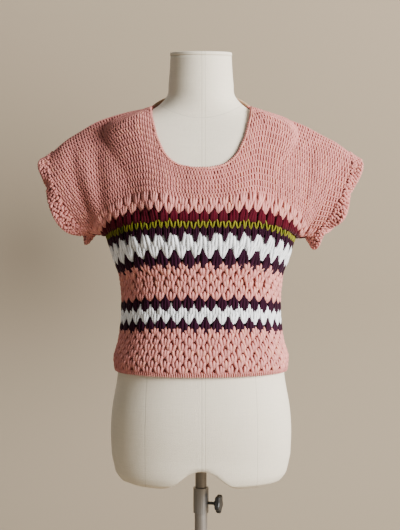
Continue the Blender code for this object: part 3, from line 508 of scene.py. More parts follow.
def droop_share(angle):
    """How much of a row's drop shows at an angle: none at the centre front, all at the side."""
    side = np.abs(np.sin(angle)) ** DROOP_POWER
    share = np.where(np.cos(angle) > 0, side, DROOP_SHARE_AT_BACK + (1 - DROOP_SHARE_AT_BACK) * side)
    return share * np.where(np.sin(angle) < 0, DROOP_SIDE[-1], DROOP_SIDE[1])


def body_point(angle, row_height):
    """Outer face of the body: a rounded section at the height that the row hangs at."""
    angle, row_height = np.broadcast_arrays(angle, row_height)
    height = row_height - smooth_read(DROOP, "drop", row_height) * droop_share(angle)
    x, y = section_point(BODY_SECTIONS, angle, height)
    low, high = SIDE_HEIGHTS
    share = np.clip((height - low) / (high - low), 0.0, 1.0)
    return np.stack([x, y + SIDE_LINE_Y * share, height], axis=-1)


def body_surface(angle, row_height):
    """The body's outer face and its outward normals, kept clear of the form."""
    step = 1e-4
    around = body_point(angle + step, row_height) - body_point(angle - step, row_height)
    rise = body_point(angle, row_height + step) - body_point(angle, row_height - step)
    points = clear_of_form(body_point(angle, row_height), CLEAR_OF_FORM + BODY_WALL)
    return points, unit(np.cross(around, rise))


def ridge_length():
    """Lengths along the ridge, and the distances from the centre that they reach."""
    out = np.concatenate([[0.0], SHOULDER_RIDGE["out"]])
    height = np.concatenate([[SHOULDER_RIDGE["height"][0]], SHOULDER_RIDGE["height"]])
    return lengths_along(np.column_stack([out, height])), out


def ridge_point(share, side, face):
    """Top line of the yoke: the shoulder ridge, and inside the neck the line of that face."""
    length, outs = ridge_length()
    out = share * length[-1]
    x = np.interp(out, length, outs)
    height = smooth_read(SHOULDER_RIDGE, "height", np.maximum(x, NECK_HALF_WIDTH))
    sleeve = np.clip((out - NECK_HALF_WIDTH) / (length[-1] - NECK_HALF_WIDTH), 0.0, 1.0)
    height = height - side * RIDGE_TILT * np.sin(np.pi * sleeve)
    inside = x < NECK_HALF_WIDTH
    if face > 0:
        y = np.where(inside, smooth_read(BACK_NECKLINE, "depth", x), RIDGE_Y)
        height = np.where(inside, smooth_read(BACK_NECKLINE, "height", x), height)
    else:
        near = np.cos(0.5 * np.pi * x / NECK_HALF_WIDTH)
        y = np.where(inside, RIDGE_Y - NECK_INSET[0] * near, RIDGE_Y)
        height = np.where(inside, height - NECK_INSET[1] * near, height)
    return np.stack([side * x, y, height], axis=-1)


def seam_line(side, face):
    """Bottom line of the yoke: along the body's top to the side, then out to the cuff."""
    turn = np.linspace(0.0, 0.5 * np.pi, SEAM_TURNS)
    angle = turn if face < 0 else np.pi - turn
    line = body_point(side * angle, np.full(angle.shape, BODY_TOP))
    corner = np.array([side * CUFF_CORNER[0], line[-1][1], CUFF_CORNER[1] - side * CORNER_TILT])
    along = np.linspace(0.0, 1.0, SLEEVE_SEAM_STEPS)[1:, None]
    line = np.concatenate([line, line[-1] + along * (corner - line[-1])])
    length = lengths_along(line)
    return line, length / length[-1]


def ends_of_columns(shares, side, face):
    """Points on the yoke's bottom line and on its top line at the shares."""
    line, measure = seam_line(side, face)
    return read_line(shares, measure, line), ridge_point(np.asarray(shares), side, face)


def bridged(depth):
    """Cloth hung across hollows: a column rises to its neighbours' mean where that stands out more."""
    for _round in range(DRAPE_ROUNDS):
        mean = 0.5 * (depth[:-2] + depth[2:])
        depth[1:-1] = np.maximum(depth[1:-1], mean)
    return depth


def yoke_columns(shares, side, face, samples=65):
    """Columns of the yoke from its bottom line to the ridge.

    Each column goes from the seam to the ridge, bulged out by a half sine wave and, near the
    cuff, rounded like half an ellipse. The columns are moved clear of the form, hung across
    the hollows between them, given their folds, and read at the shares.
    """
    every = np.linspace(0.0, 1.0, DRAPE_COLUMNS)
    low, high = ends_of_columns(every, side, face)
    way = np.linspace(0.0, 1.0, samples)
    roundness = smooth_read(YOKE_PATHS, "round", every)[:, None]
    bulge = smooth_read(YOKE_PATHS, "bulge", every)[:, None]
    flare = smooth_read(YOKE_PATHS, "flare", every)[:, None] * CUFF_FLARE[side]
    eased = (1 - roundness) * way + roundness * 0.5 * (1 - np.cos(np.pi * way))
    path = low[:, None, :] + eased[:, :, None] * (high - low)[:, None, :]
    half_wave = np.sin(np.pi * way)
    chord = high - low
    across = unit(np.stack([chord[:, 2] * side, np.zeros(len(every)), -np.abs(chord[:, 0])], axis=-1))
    path[:, :, 1] += face * bulge * half_wave
    path += flare[:, :, None] * half_wave[None, :, None] * across[:, None, :]
    path = clear_of_form(path, CLEAR_OF_FORM + WALL)
    hung = face * bridged(face * path[:, :, 1])
    path[:, :, 1] += (hung - path[:, :, 1]) * np.sqrt(np.maximum(half_wave, 0.0))
    for fold in YOKE_FOLDS:
        if fold["side"] != side or fold["face"] != face:
            continue
        place = fold["share"] + fold["lean"] * (way - 0.5)
        trough = np.exp(-(((every[:, None] - place) / fold["width"]) ** 2))
        path[:, :, 1] -= face * fold["depth"] * trough * half_wave
    at = np.asarray(shares) * (DRAPE_COLUMNS - 1)
    before = np.clip(at.astype(int), 0, DRAPE_COLUMNS - 2)
    part = (at - before)[:, None]
    seam, ridge = ends_of_columns(shares, side, face)
    seam = seam - (low[before] * (1 - part) + low[before + 1] * part)
    ridge = ridge - (high[before] * (1 - part) + high[before + 1] * part)
    path = path[before] * (1 - part[..., None]) + path[before + 1] * part[..., None]
    path = path + seam[:, None, :] * (1 - way)[:, None] + ridge[:, None, :] * way[:, None]
    return clear_of_form(path, CLEAR_OF_FORM + WALL)


class YokeFace:
    """The front or back of the yoke as one grid: share from cuff to cuff, level from seam to ridge.

    The level is the length along a column as a share of the whole column, so that a row of
    stitches keeps its level. The top edge is a level for each share, lower in the neckline.
    """

    def __init__(self, face, columns=61, levels=81):
        shares = np.linspace(0.0, 1.0, columns)
        self.neck_share = NECK_HALF_WIDTH / ridge_length()[0][-1]
        halves = []
        reaches = []
        for side in (-1, 1):
            path = yoke_columns(shares, side, face)
            neck = yoke_columns(np.array([self.neck_share]), side, face)
            self.full = line_length(neck[0])
            even = np.zeros((columns, levels, 3))
            reach = np.ones(columns)
            for number, column in enumerate(path):
                length = lengths_along(column)
                even[number] = read_line(np.linspace(0.0, length[-1], levels), length, column)
                if face < 0 and shares[number] < self.neck_share:
                    reach[number] = self.neck_reach(column, length, shares[number])
            halves.append(even)
            reaches.append(reach)
        self.grid = np.concatenate([halves[0][:0:-1], halves[1]])
        self.reach = np.concatenate([reaches[0][:0:-1], reaches[1]])
        self.shares = np.concatenate([-shares[:0:-1], shares])
        around = np.gradient(self.grid, axis=0)
        rise = np.gradient(self.grid, axis=1)
        self.normals = unit(np.cross(around, rise)) * -face

    def neck_reach(self, column, length, share):
        """Level at which a column meets the front neckline."""
        half = smooth_read(FRONT_NECKLINE, "half_width", column[:, 2])
        dip = YOKE_FRONT_DIP * np.cos(0.5 * np.pi * share / self.neck_share)
        inside = np.minimum(half - np.abs(column[:, 0]), column[:, 2] - NECK_DEPTH_HEIGHT + dip)
        first = int(np.argmax(inside > 0))
        part = -inside[first - 1] / (inside[first] - inside[first - 1])
        return (length[first - 1] + part * line_length(column[first - 1:first + 1])) / length[-1]

    def top_at(self, share):
        """Level of the cloth's top edge at a share."""
        return np.interp(share, self.shares, self.reach)

    def __call__(self, share, level):
        """Points and normals at shares and levels: straight blends between the grid's points."""
        share, level = np.broadcast_arrays(share, level)
        columns, levels = self.grid.shape[:2]
        u = np.clip((share + 1) / 2 * (columns - 1), 0, columns - 1 - 1e-9)
        v = np.clip(level * (levels - 1), 0, levels - 1 - 1e-9)
        i = u.astype(int)
        j = v.astype(int)
        a = (u - i)[..., None]
        b = (v - j)[..., None]
        results = []
        for grid in (self.grid, self.normals):
            low = grid[i, j] * (1 - a) + grid[i + 1, j] * a
            high = grid[i, j + 1] * (1 - a) + grid[i + 1, j + 1] * a
            results.append(low * (1 - b) + high * b)
        return results[0], unit(results[1])


def signed_volume(points, quads):
    """Volume inside four-sided faces: a sum of the pyramids from the first point."""
    a, b, c, d = (points[quads[:, k]] - points[0] for k in range(4))
    return float((np.cross(a, b) * c).sum() + (np.cross(a, c) * d).sum()) / 6


def in_scene(name, data):
    """A new object in the scene that shows the data."""
    made = bpy.data.objects.new(name, data)
    bpy.context.scene.collection.objects.link(made)
    return made


def new_piece(name, points, quads, material, uv=None, tone=None, painted_shade=None):
    """A closed mesh from arrays, turned outwards, with its yarn map, strands' tones and painted shade
    colours.
    """
    if signed_volume(points, quads) < 0:
        quads = quads[:, ::-1]
        uv = None if uv is None else uv[:, ::-1]
    mesh = bpy.data.meshes.new(name)
    mesh.vertices.add(len(points))
    mesh.vertices.foreach_set("co", points.astype(np.float32).ravel())
    mesh.loops.add(quads.size)
    mesh.loops.foreach_set("vertex_index", quads.astype(np.int32).ravel())
    mesh.polygons.add(len(quads))
    mesh.polygons.foreach_set("loop_start", np.arange(0, quads.size, 4, dtype=np.int32))
    mesh.update(calc_edges=True)
    if uv is not None:
        mesh.uv_layers.new(name="yarn").data.foreach_set("uv", uv.astype(np.float32).ravel())
    if tone is not None:
        mesh.attributes.new("tone", "FLOAT", "POINT").data.foreach_set("value", tone.astype(np.float32))
    if painted_shade is not None:
        colours = np.column_stack([painted_shade, np.ones(len(painted_shade))]).astype(np.float32)
        mesh.attributes.new("painted_shade", "FLOAT_COLOR", "POINT").data.foreach_set("color", colours.ravel())
    mesh.materials.append(material)
    mesh.shade_smooth()
    return in_scene(name, mesh)


def cells(index):
    """The four corners of each cell in a grid of point numbers, or in many grids at once."""
    corners = (index[..., :-1, :-1], index[..., 1:, :-1], index[..., 1:, 1:], index[..., :-1, 1:])
    return np.stack(corners, axis=-1)


def grid_quads(rows, columns, start=0, wrap=False):
    """Four-sided faces of a grid of points that is stored row by row."""
    index = np.arange(rows * columns).reshape(rows, columns) + start
    if wrap:
        index = np.concatenate([index, index[:, :1]], axis=1)
    return cells(index).reshape(-1, 4)


def shell_mesh(outer, inner):
    """A thin closed wall between two grids of the same size: both faces and the four rims."""
    rows, columns = outer.shape[:2]
    points = np.concatenate([outer.reshape(-1, 3), inner.reshape(-1, 3)])
    front = grid_quads(rows, columns)
    back = grid_quads(rows, columns, start=rows * columns)[:, ::-1]
    index = np.arange(rows * columns).reshape(rows, columns)
    rim = np.concatenate([index[0, :], index[1:, -1], index[-1, -2::-1], index[-2:0:-1, 0]])
    after = np.roll(rim, -1)
    sides = np.stack([rim, after, after + rows * columns, rim + rows * columns], axis=-1)
    return points, np.concatenate([front, back, sides])


def ring_shell_mesh(outer, inner):
    """A thin closed band between two grids that close on themselves along their first axis."""
    sections = np.concatenate([outer, inner[:, ::-1]], axis=1)
    index = np.arange(sections.shape[0] * sections.shape[1]).reshape(sections.shape[:2])
    index = np.concatenate([index, index[:1]])
    index = np.concatenate([index, index[:, :1]], axis=1)
    return sections.reshape(-1, 3), cells(index).reshape(-1, 4)


class Strands:
    """Strands of yarn gathered for one mesh: each is a tube along a path on the cloth."""

    def __init__(self):
        self.points = []
        self.quads = []
        self.uv = []
        self.tone = []
        self.count = 0

    def add(self, centres, normals, half_width, half_depth, closed=False, sides=6):
        """Tubes round paths: at each point an ellipse across the path, flat towards the cloth.

        centres and normals are (strands, points, 3); a closed path ends where it starts. A tube
        has four or six sides, and a tone of its own.
        """
        strands, steps = centres.shape[:2]
        half_width = np.broadcast_to(half_width, (strands, steps))
        half_depth = np.broadcast_to(half_depth, (strands, steps))
        if closed:
            ahead = np.roll(centres, -1, axis=1) - np.roll(centres, 1, axis=1)
        else:
            ahead = np.gradient(centres, axis=1)
        ahead = unit(ahead)
        across = unit(np.cross(ahead, normals))
        outward = np.cross(across, ahead)
        turn = 2 * np.pi * np.arange(sides) / sides
        oval = across[:, :, None] * (np.cos(turn)[:, None] * half_width[:, :, None, None])
        oval = oval + outward[:, :, None] * (np.sin(turn)[:, None] * half_depth[:, :, None, None])
        points = (centres[:, :, None] + oval).reshape(-1, 3)
        index = np.arange(strands * steps * sides).reshape(strands, steps, sides) + self.count
        around = np.concatenate([index, index[:, :, :1]], axis=2)
        if closed:
            around = np.concatenate([around, around[:, :1]], axis=1)
        quads = cells(around)
        reach = np.linalg.norm(np.diff(centres, axis=1), axis=-1)
        reach = np.concatenate([np.zeros((strands, 1)), np.cumsum(reach, axis=1)], axis=1)
        if closed:
            last = np.linalg.norm(centres[:, 0] - centres[:, -1], axis=-1)
            reach = np.concatenate([reach, (reach[:, -1] + last)[:, None]], axis=1)
        low = np.broadcast_to(reach[:, :-1, None], quads.shape[:3])
        high = np.broadcast_to(reach[:, 1:, None], quads.shape[:3])
        first = np.broadcast_to(np.arange(sides) / sides, quads.shape[:3])
        after = first + 1 / sides
        around_uv = np.stack([first, first, after, after], axis=-1)
        along_uv = np.stack([low, high, high, low], axis=-1) / YARN_TURN
        uv = np.stack([around_uv, along_uv], axis=-1).reshape(-1, 4, 2)
        quads = quads.reshape(-1, 4)
        if not closed:
            caps = []
            for end in (index[:, 0, ::-1], index[:, -1]):
                caps += [end[:, (0, k, k + 1, k + 2)] for k in range(1, sides - 1, 2)]
            caps = np.concatenate(caps)
            quads = np.concatenate([quads, caps])
            uv = np.concatenate([uv, np.zeros((len(caps), 4, 2))])
        self.points.append(points)
        self.quads.append(quads)
        self.uv.append(uv)
        self.tone.append(np.repeat(rng.random(strands), steps * sides))
        self.count += len(points)

    def lay(self, surface, u, v, lift, half_width, flat=1.0, outer=1, sides=6):
        """Tubes along lines on a surface, each lifted off it and flattened towards it."""
        points, normals = surface(u, v)
        lift = np.broadcast_to(lift, points.shape[:2])[..., None]
        self.add(points + normals * lift, normals * outer, half_width, half_width * flat, sides=sides)

    def piece(self, name, yarn):
        """The gathered strands as one mesh in a yarn's material, riding on the form."""
        parts = (self.points, self.quads, self.uv, self.tone)
        points, quads, uv, tone = (np.concatenate(part) for part in parts)
        made = new_piece(name, points, quads, yarn_materials[yarn], uv, tone)
        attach(made, "form")
        return made


class Nodes:
    """Short ways to add nodes to a material or a group; most give the socket that is read next."""

    def __init__(self, tree, shader=None):
        self.tree = tree
        self.shader = shader

    def add(self, kind, inputs=None, **settings):
        """A node of a kind with its settings, and its inputs as values or links."""
        node = self.tree.nodes.new(kind)
        for key, value in settings.items():
            setattr(node, key, value)
        for key, value in (inputs or {}).items():
            if isinstance(value, bpy.types.NodeSocket):
                self.tree.links.new(value, node.inputs[key])
            else:
                node.inputs[key].default_value = value
        return node

    def math(self, operation, *values):
        """One sum, product or other operation on numbers."""
        return self.add("ShaderNodeMath", dict(enumerate(values)), operation=operation).outputs[0]

    def ramp(self, value, ends=(0.0, 1.0), to=(0.0, 1.0), **settings):
        """A number read between two ends, as a number between two others."""
        inputs = {"Value": value, "From Min": ends[0], "From Max": ends[1], "To Min": to[0], "To Max": to[1]}
        return self.add("ShaderNodeMapRange", inputs, **settings).outputs[0]

    def noise(self, vector, scale, detail):
        """Soft noise at a scale."""
        return self.add("ShaderNodeTexNoise", {"Vector": vector, "Scale": scale, "Detail": detail}).outputs[0]

    def scaled(self, colour, factor):
        """A colour made lighter or darker by a factor."""
        return self.add("ShaderNodeVectorMath", {0: colour, "Scale": factor}, operation="SCALE").outputs[0]

    def mix(self, factor, first, second):
        """The first colour turned into the second by a factor."""
        return self.add("ShaderNodeMix", {0: factor, 6: first, 7: second}, data_type="RGBA").outputs[2]

    def place(self):
        """Where a point lies on its object."""
        return self.add("ShaderNodeTexCoord").outputs["Object"]

    def mapped(self, vector, scale, location=(0.0, 0.0, 0.0)):
        """A place stretched along each axis and moved."""
        inputs = {"Vector": vector, "Scale": scale, "Location": location}
        return self.add("ShaderNodeMapping", inputs).outputs[0]

    def attribute(self, name, output="Fac"):
        """What a mesh has stored at its points under a name."""
        return self.add("ShaderNodeAttribute", attribute_name=name).outputs[output]

    def finish(self, colour, height, distance, strength, rough=None):
        """The shader's colour, its bump from a height, and its roughness where that varies."""
        bump = self.add("ShaderNodeBump", {"Height": height, "Distance": distance, "Strength": strength})
        self.tree.links.new(colour, self.shader.inputs["Base Color"])
        self.tree.links.new(bump.outputs["Normal"], self.shader.inputs["Normal"])
        if rough is not None:
            self.tree.links.new(rough, self.shader.inputs["Roughness"])


def yarn_group():
    """Spun yarn: plies that wind round the strand, fine fibres, and a tone for each strand.

    The ply height is a sine of twice the way round plus the way along, and the hollows
    between plies take a painted shade colour.
    """
    group = bpy.data.node_groups.new("spun yarn", "ShaderNodeTree")
    colours = {"Yarn": "Color", "Painted shade": "Color", "Odd strand": "Color"}
    for name, kind in {**colours, "Plies": "Float", "Ply depth": "Float"}.items():
        group.interface.new_socket(name, in_out="INPUT", socket_type="NodeSocket" + kind)
    for name, kind in (("Colour", "Color"), ("Height", "Float")):
        group.interface.new_socket(name, in_out="OUTPUT", socket_type="NodeSocket" + kind)
    nodes = Nodes(group)
    given = nodes.add("NodeGroupInput").outputs
    yarn_map = nodes.add("ShaderNodeUVMap", uv_map="yarn").outputs["UV"]
    way = nodes.add("ShaderNodeSeparateXYZ", {"Vector": yarn_map}).outputs
    tone = nodes.attribute("tone")
    place = nodes.place()
    turns = nodes.math("ADD", nodes.math("MULTIPLY", way["X"], given["Plies"]), way["Y"])
    wave = nodes.math("COSINE", nodes.math("MULTIPLY", turns, 2 * math.pi))
    ply = nodes.ramp(wave, ends=(-1.0, 0.5))
    dyed = nodes.mix(nodes.ramp(tone, ends=(0.72, 1.0)), given["Yarn"], given["Odd strand"])
    light = nodes.ramp(tone, to=(0.86, 1.12))
    cloud = nodes.ramp(nodes.noise(place, 45.0, 2.0), ends=(0.3, 0.7), to=(0.92, 1.08))
    toned = nodes.scaled(dyed, nodes.math("MULTIPLY", light, cloud))
    # Painted shade: the hollows between the plies turn to the painted shade colour.
    lifted = nodes.math("MULTIPLY", ply, given["Ply depth"])
    ply_shade_mask = nodes.math("ADD", lifted, nodes.math("SUBTRACT", 1.0, given["Ply depth"]))
    fine = nodes.math("MULTIPLY", nodes.noise(place, 900.0, 3.0), FINE_SHARE)
    height = nodes.math("ADD", ply, fine)
    nodes.add("NodeGroupOutput", {"Colour": nodes.mix(ply_shade_mask, given["Painted shade"], toned), "Height": height})
    return group


def principled(name, roughness, specular=0.5, metallic=0.0, sheen=0.0):
    """A new material with its Principled shader's plain settings, and its nodes."""
    material = bpy.data.materials.new(name)
    material.use_nodes = True
    shader = material.node_tree.nodes["Principled BSDF"]
    plain = {
        "Roughness": roughness,
        "Specular IOR Level": specular,
        "Metallic": metallic,
        "Sheen Weight": sheen,
        "Sheen Roughness": 0.5,
    }
    for key, value in plain.items():
        shader.inputs[key].default_value = value
    return material, Nodes(material.node_tree, shader)


def yarn_material(yarn, group, plies=2.0, depth=0.55):
    """Matt spun yarn in one of the sweater's colours."""
    _slot, colour, ply_shade, odd = YARNS[yarn]
    material, nodes = principled(yarn + " yarn", 0.92, specular=0.12, sheen=0.05)
    # The third colour is painted shade for the hollows between the plies.
    inputs = {"Yarn": (*colour, 1), "Painted shade": (*ply_shade, 1), "Odd strand": (*odd, 1)}
    inputs.update({"Plies": plies, "Ply depth": depth})
    spun = nodes.add("ShaderNodeGroup", inputs, node_tree=group).outputs
    nodes.finish(spun["Colour"], spun["Height"], distance=0.0006, strength=0.6)
    return material


def ground_material():
    """The ground behind the stitches: each row's painted shade colour, toned by a fine looped pattern, with a
    fine looped bump.
    """
    material, nodes = principled("ground in painted shade", 0.95, specular=0.1)
    loops = nodes.add("ShaderNodeTexVoronoi", {"Vector": nodes.place(), "Scale": 320.0}).outputs["Distance"]
    # Painted shade: the ground's colour is each row's shade colour, for the dark in the gaps between
    # stitches.
    toned = nodes.scaled(nodes.attribute("painted_shade", "Color"), nodes.ramp(loops, to=(1.05, 0.75)))
    nodes.finish(toned, loops, distance=0.0008, strength=0.5)
    return material


def painted_shade_colours(levels, bounds, yarns):
    """The painted shade colour of the row that each level lies in, for rows given by their bounds."""
    hollows = np.array([YARNS[yarn][2] for yarn in yarns])
    row = np.clip(np.searchsorted(bounds, levels, side="right") - 1, 0, len(yarns) - 1)
    return hollows[row]


spun_group = yarn_group()
yarn_materials = {yarn: yarn_material(yarn, spun_group) for yarn in YARNS}
ground = ground_material()
yoke = {face: YokeFace(face) for face in FACE_NAMES}


def ground_piece(name, mesh, painted_shade):
    """A ground in its rows' painted shade colours, riding on the form."""
    piece = new_piece(name, *mesh, ground, painted_shade=painted_shade)
    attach(piece, "form")
    return piece


def row_places(surface, level, low, high, count, shift):
    """Even places along a row: its length on the cloth is shared out between the stitches.

    Gives each place's parameter, how far the parameter goes for a metre, and the pitch.
    """
    u = np.linspace(low, high, 1201)
    length = lengths_along(surface(u, np.full(u.shape, level))[0])
    at = (np.arange(count) + 0.25 + 0.5 * shift) % count * length[-1] / count
    per_metre = np.gradient(u, length)
    return np.interp(at, length, u), np.interp(at, length, per_metre), length[-1] / count


def thickness_along(kind, way):
    """A single strand's thickness at places along it."""
    return np.interp(way, *SINGLE_STRANDS[kind])


def lift_along(kind, way):
    """How far a single strand lies off the cloth at places along it: a half sine wave."""
    rise, sunk = STRAND_RISES[kind]
    return rise * np.sin(np.pi * way) - sunk


def cluster(strands, surface, centre, per_metre, pitch, low, high, shape, size=1.0):
    """Three strands side by side for each cluster, spread as its shape's table says.

    Sideways, the outer strands stand off by the table's curve; outwards, all rise by a half
    sine wave and sink in again at the foot and the head.
    """
    way = np.linspace(0.0, 1.0, 8)
    wide = np.interp(way, CLUSTER_WAY, CLUSTER_SHAPES[shape])
    thick = np.interp(way, CLUSTER_WAY, STRAND_SHAPES[shape])
    arch = np.sin(np.pi * np.clip(way * 0.92 + 0.04, 0, 1)) ** CLUSTER_ROUNDNESS
    for place in (-1, 0, 1):
        aside, above, below, fat = rng.normal(0.0, 1.0, (4, len(centre), 1))
        side = place * wide + CLUSTER_STRAY * aside
        u = centre[:, None] + side * pitch * per_metre[:, None]
        end = 0.05 if place == 0 and shape == "shell" else 0.03 * abs(place)
        top = high - (high - low) * (end + CLUSTER_END_STRAY * above)
        bottom = low + (high - low) * CLUSTER_END_STRAY * below
        lift = CLUSTER_RISE * arch - CLUSTER_SUNK - OUTER_STRAND_SUNK * abs(place)
        half = CLUSTER_YARN * pitch * size * thick * (1 + THICKNESS_STRAY["cluster"] * fat)
        strands.lay(surface, u, bottom + (top - bottom) * way, lift, half, flat=0.8)


def build_body():
    """The body's stitches, row by row, sorted by panel and yarn, over two thin grounds."""
    piles = {}
    row_number = 0
    for group in BODY_ROWS:
        pitch_up = (group.top - group.bottom) / group.rows
        for row in range(group.rows):
            middle = group.top - pitch_up * (row + 0.5)
            low = middle - group.down * pitch_up
            high = middle + group.up * pitch_up
            shift = row_number % 2
            angle, per_metre, pitch = row_places(body_surface, middle, *FULL_TURN, group.count, shift)
            row_number += 1
            for face in FACE_NAMES:
                own = np.cos(angle) * -face > 0
                places = (angle[own], per_metre[own], pitch)
                pile = piles.setdefault((face, group.yarn), Strands())
                if group.shape == "zigzag":
                    zigzag(pile, body_surface, *places, low, high)
                else:
                    cluster(pile, body_surface, *places, low, high, group.shape, group.size)
    for face in FACE_NAMES:
        build_body_ground(face, piles)


def build_body_ground(face, piles):
    """One panel's ground, in painted shade row by row, and its piles of stitches as pieces of their own."""
    angle = np.linspace(-0.5 * np.pi, 0.5 * np.pi, 61)
    angle = angle if face < 0 else np.pi - angle
    heights = np.linspace(BODY_TOP, HEM_HEIGHT, 111)
    angle, heights = np.meshgrid(angle, heights, indexing="ij")
    points, normals = body_surface(angle, heights)
    mesh = shell_mesh(points - normals * BODY_GROUND[0], points - normals * BODY_GROUND[1])
    rows = BODY_ROWS[::-1]
    # Painted shade: the ground takes the shade colour of each row's yarn.
    painted_shade = painted_shade_colours(heights.ravel(), [row.bottom for row in rows], [row.yarn for row in rows])
    name = FACE_NAMES[face]
    piece = ground_piece("body_ground_" + name, mesh, np.concatenate([painted_shade, painted_shade]))
    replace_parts(piece, "body_" + name)
    stitches = [
        pile.piece(f"body_{name}_{yarn}_stitches", yarn)
        for (pile_face, yarn), pile in piles.items()
        if pile_face == face
    ]


def zigzag(strands, surface, centre, per_metre, pitch, low, high):
    """A row of slanted looped strands, two to a stitch, that meet in uneven points."""
    way = np.linspace(0.0, 1.0, 7)
    lift = lift_along("zigzag", way)
    thick = ZIGZAG_YARN * thickness_along("zigzag", way)
    for lean in (-1, 1):
        aside, above, spread, tall = rng.normal(0.0, 1.0, (4, len(centre), 1))
        half = ZIGZAG_HALF + ZIGZAG_STRAY["half"] * spread
        side = lean * (half * way + ZIGZAG_BOW * np.sin(2 * np.pi * way)) + SIDE_STRAY * aside
        u = centre[:, None] + side * pitch * per_metre[:, None]
        height = ZIGZAG_HEIGHT + ZIGZAG_STRAY["height"] * tall
        v = low + (high - low) * (ZIGZAG_FOOT + height * way + ZIGZAG_STRAY["foot"] * above)
        strands.lay(surface, u, v, lift, thick)


def row_length(surface, level):
    """Length of the cloth from cuff to cuff at a level."""
    return line_length(surface(np.linspace(-1, 1, 601), np.full(601, level))[0])


def treble_row(strands, surface, low, high, shift):
    """A row of treble stitches: slanted posts side by side, each with a loop lying on its head."""
    middle = 0.5 * (low + high)
    count = int(round(row_length(surface, middle) / TREBLE_PITCH))
    centre, per_metre, pitch = row_places(surface, middle, -1.0, 1.0, count, shift)
    top = np.minimum(high, surface.top_at(centre))
    kept = top - low > SHORTEST_POST * (high - low)
    centre, per_metre, top = (values[kept, None] for values in (centre, per_metre, top))
    way = np.linspace(0.0, 1.0, 5)
    aside, fat = rng.normal(0.0, 1.0, (2, len(centre), 1))
    side = POST_SLANT * (way - 0.5) + SIDE_STRAY * aside
    u = np.clip(centre + side * pitch * per_metre, -1, 1)
    v = low + (top - low) * (POST_FOOT + POST_REACH * way)
    thick = POST_YARN * pitch * thickness_along("post", way) * (1 + THICKNESS_STRAY["post"] * fat)
    strands.lay(surface, u, v, lift_along("post", way), thick, flat=0.75)
    whole = top[:, 0] >= high - 1e-6
    way = np.linspace(0.0, 1.0, 4)
    u = np.clip(centre[whole] + LOOP_LENGTH * (way - 0.5) * pitch * per_metre[whole], -1, 1)
    v = top[whole] + (high - low) * (LOOP_SLOPE * (way - 0.5) - LOOP_DROP)
    strands.lay(surface, u, v, lift_along("loop", way), LOOP_YARN * thickness_along("loop", way), sides=4)


def build_yoke(face):
    """One yoke with its half sleeves: a burgundy row, two pink cluster rows, then rows of trebles."""
    surface = yoke[face]
    piles = {"burgundy": Strands(), "cluster": Strands(), "treble": Strands()}
    bounds = [0.0]
    for number, (depth, pile, shape, down, up) in enumerate(YOKE_ROWS):
        step = depth / surface.full
        middle = bounds[-1] + 0.5 * step
        count = int(round(row_length(surface, middle) / CLUSTER_PITCH))
        places = row_places(surface, middle, -1.0, 1.0, count, number % 2)
        size = YOKE_CLUSTER_SIZE[pile]
        cluster(piles[pile], surface, *places, middle - down * step, middle + up * step, shape, size)
        bounds.append(bounds[-1] + step)
    count = int(round((1.0 - bounds[-1]) * surface.full / TREBLE_ROW))
    levels = np.linspace(bounds[-1], 1.0, count + 1)
    for row in range(count):
        treble_row(piles["treble"], surface, levels[row], levels[row + 1], row % 2)
    name = FACE_NAMES[face]
    levels = np.linspace(0.0, 1.0, 91) * surface.reach[:, None]
    points, normals = surface(surface.shares[:, None], levels)
    mesh = shell_mesh(points - normals * YOKE_GROUND[0], points - normals * YOKE_GROUND[1])
    # Painted shade: the ground takes the shade colour of each row's yarn.
    painted_shade = painted_shade_colours(levels.ravel(), bounds, ["burgundy", "pink", "pink", "pink"])
    piece = ground_piece("yoke_ground_" + name, mesh, np.concatenate([painted_shade, painted_shade]))
    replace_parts(piece, "yoke_" + name)
    stitches = [
        pile.piece(f"yoke_{name}_{key}_stitches", "burgundy" if key == "burgundy" else "pink")
        for key, pile in piles.items()
    ]


def even_loop(points, normals, count, side):
    """A closed line at even steps, with its normals and the direction away from the cloth."""
    closed = np.concatenate([points, points[:1]])
    length = lengths_along(closed)
    at = np.linspace(0.0, length[-1], count, endpoint=False)
    loop = read_line(at, length, closed)
    facing = unit(read_line(at, length, np.concatenate([normals, normals[:1]])))
    along = unit(np.roll(loop, -1, axis=0) - np.roll(loop, 1, axis=0))
    away = unit(np.cross(facing, along)) * side
    return loop, unit(np.cross(along, away)) * side, away


def looped_read(values, at):
    """A closed table of rows read at turns from 0 to 1, blended between neighbours."""
    place = (at % 1.0) * len(values)
    i = place.astype(int) % len(values)
    part = (place - np.floor(place))[..., None]
    return values[i] * (1 - part) + values[(i + 1) % len(values)] * part


def lobe_shape(side, turn):
    """Each turn's rise and wave in its lobe: a rounded half sine wave, and a whole cosine."""
    rise = np.zeros(np.shape(turn))
    wave = np.zeros(np.shape(turn))
    for lobe in RUFFLE_LOBES[RUFFLE_LOBES["side"] == side]:
        width = lobe["end"] - lobe["start"]
        part = ((turn - lobe["start"]) % 1.0) / width
        inside = part < 1.0
        rounded = lobe["rise"] * np.sin(np.pi * np.minimum(part, 1.0)) ** RUFFLE_ROUNDNESS
        rise = np.where(inside, rounded, rise)
        wave = np.where(inside, -np.cos(2 * np.pi * part), wave)
    return rise, wave


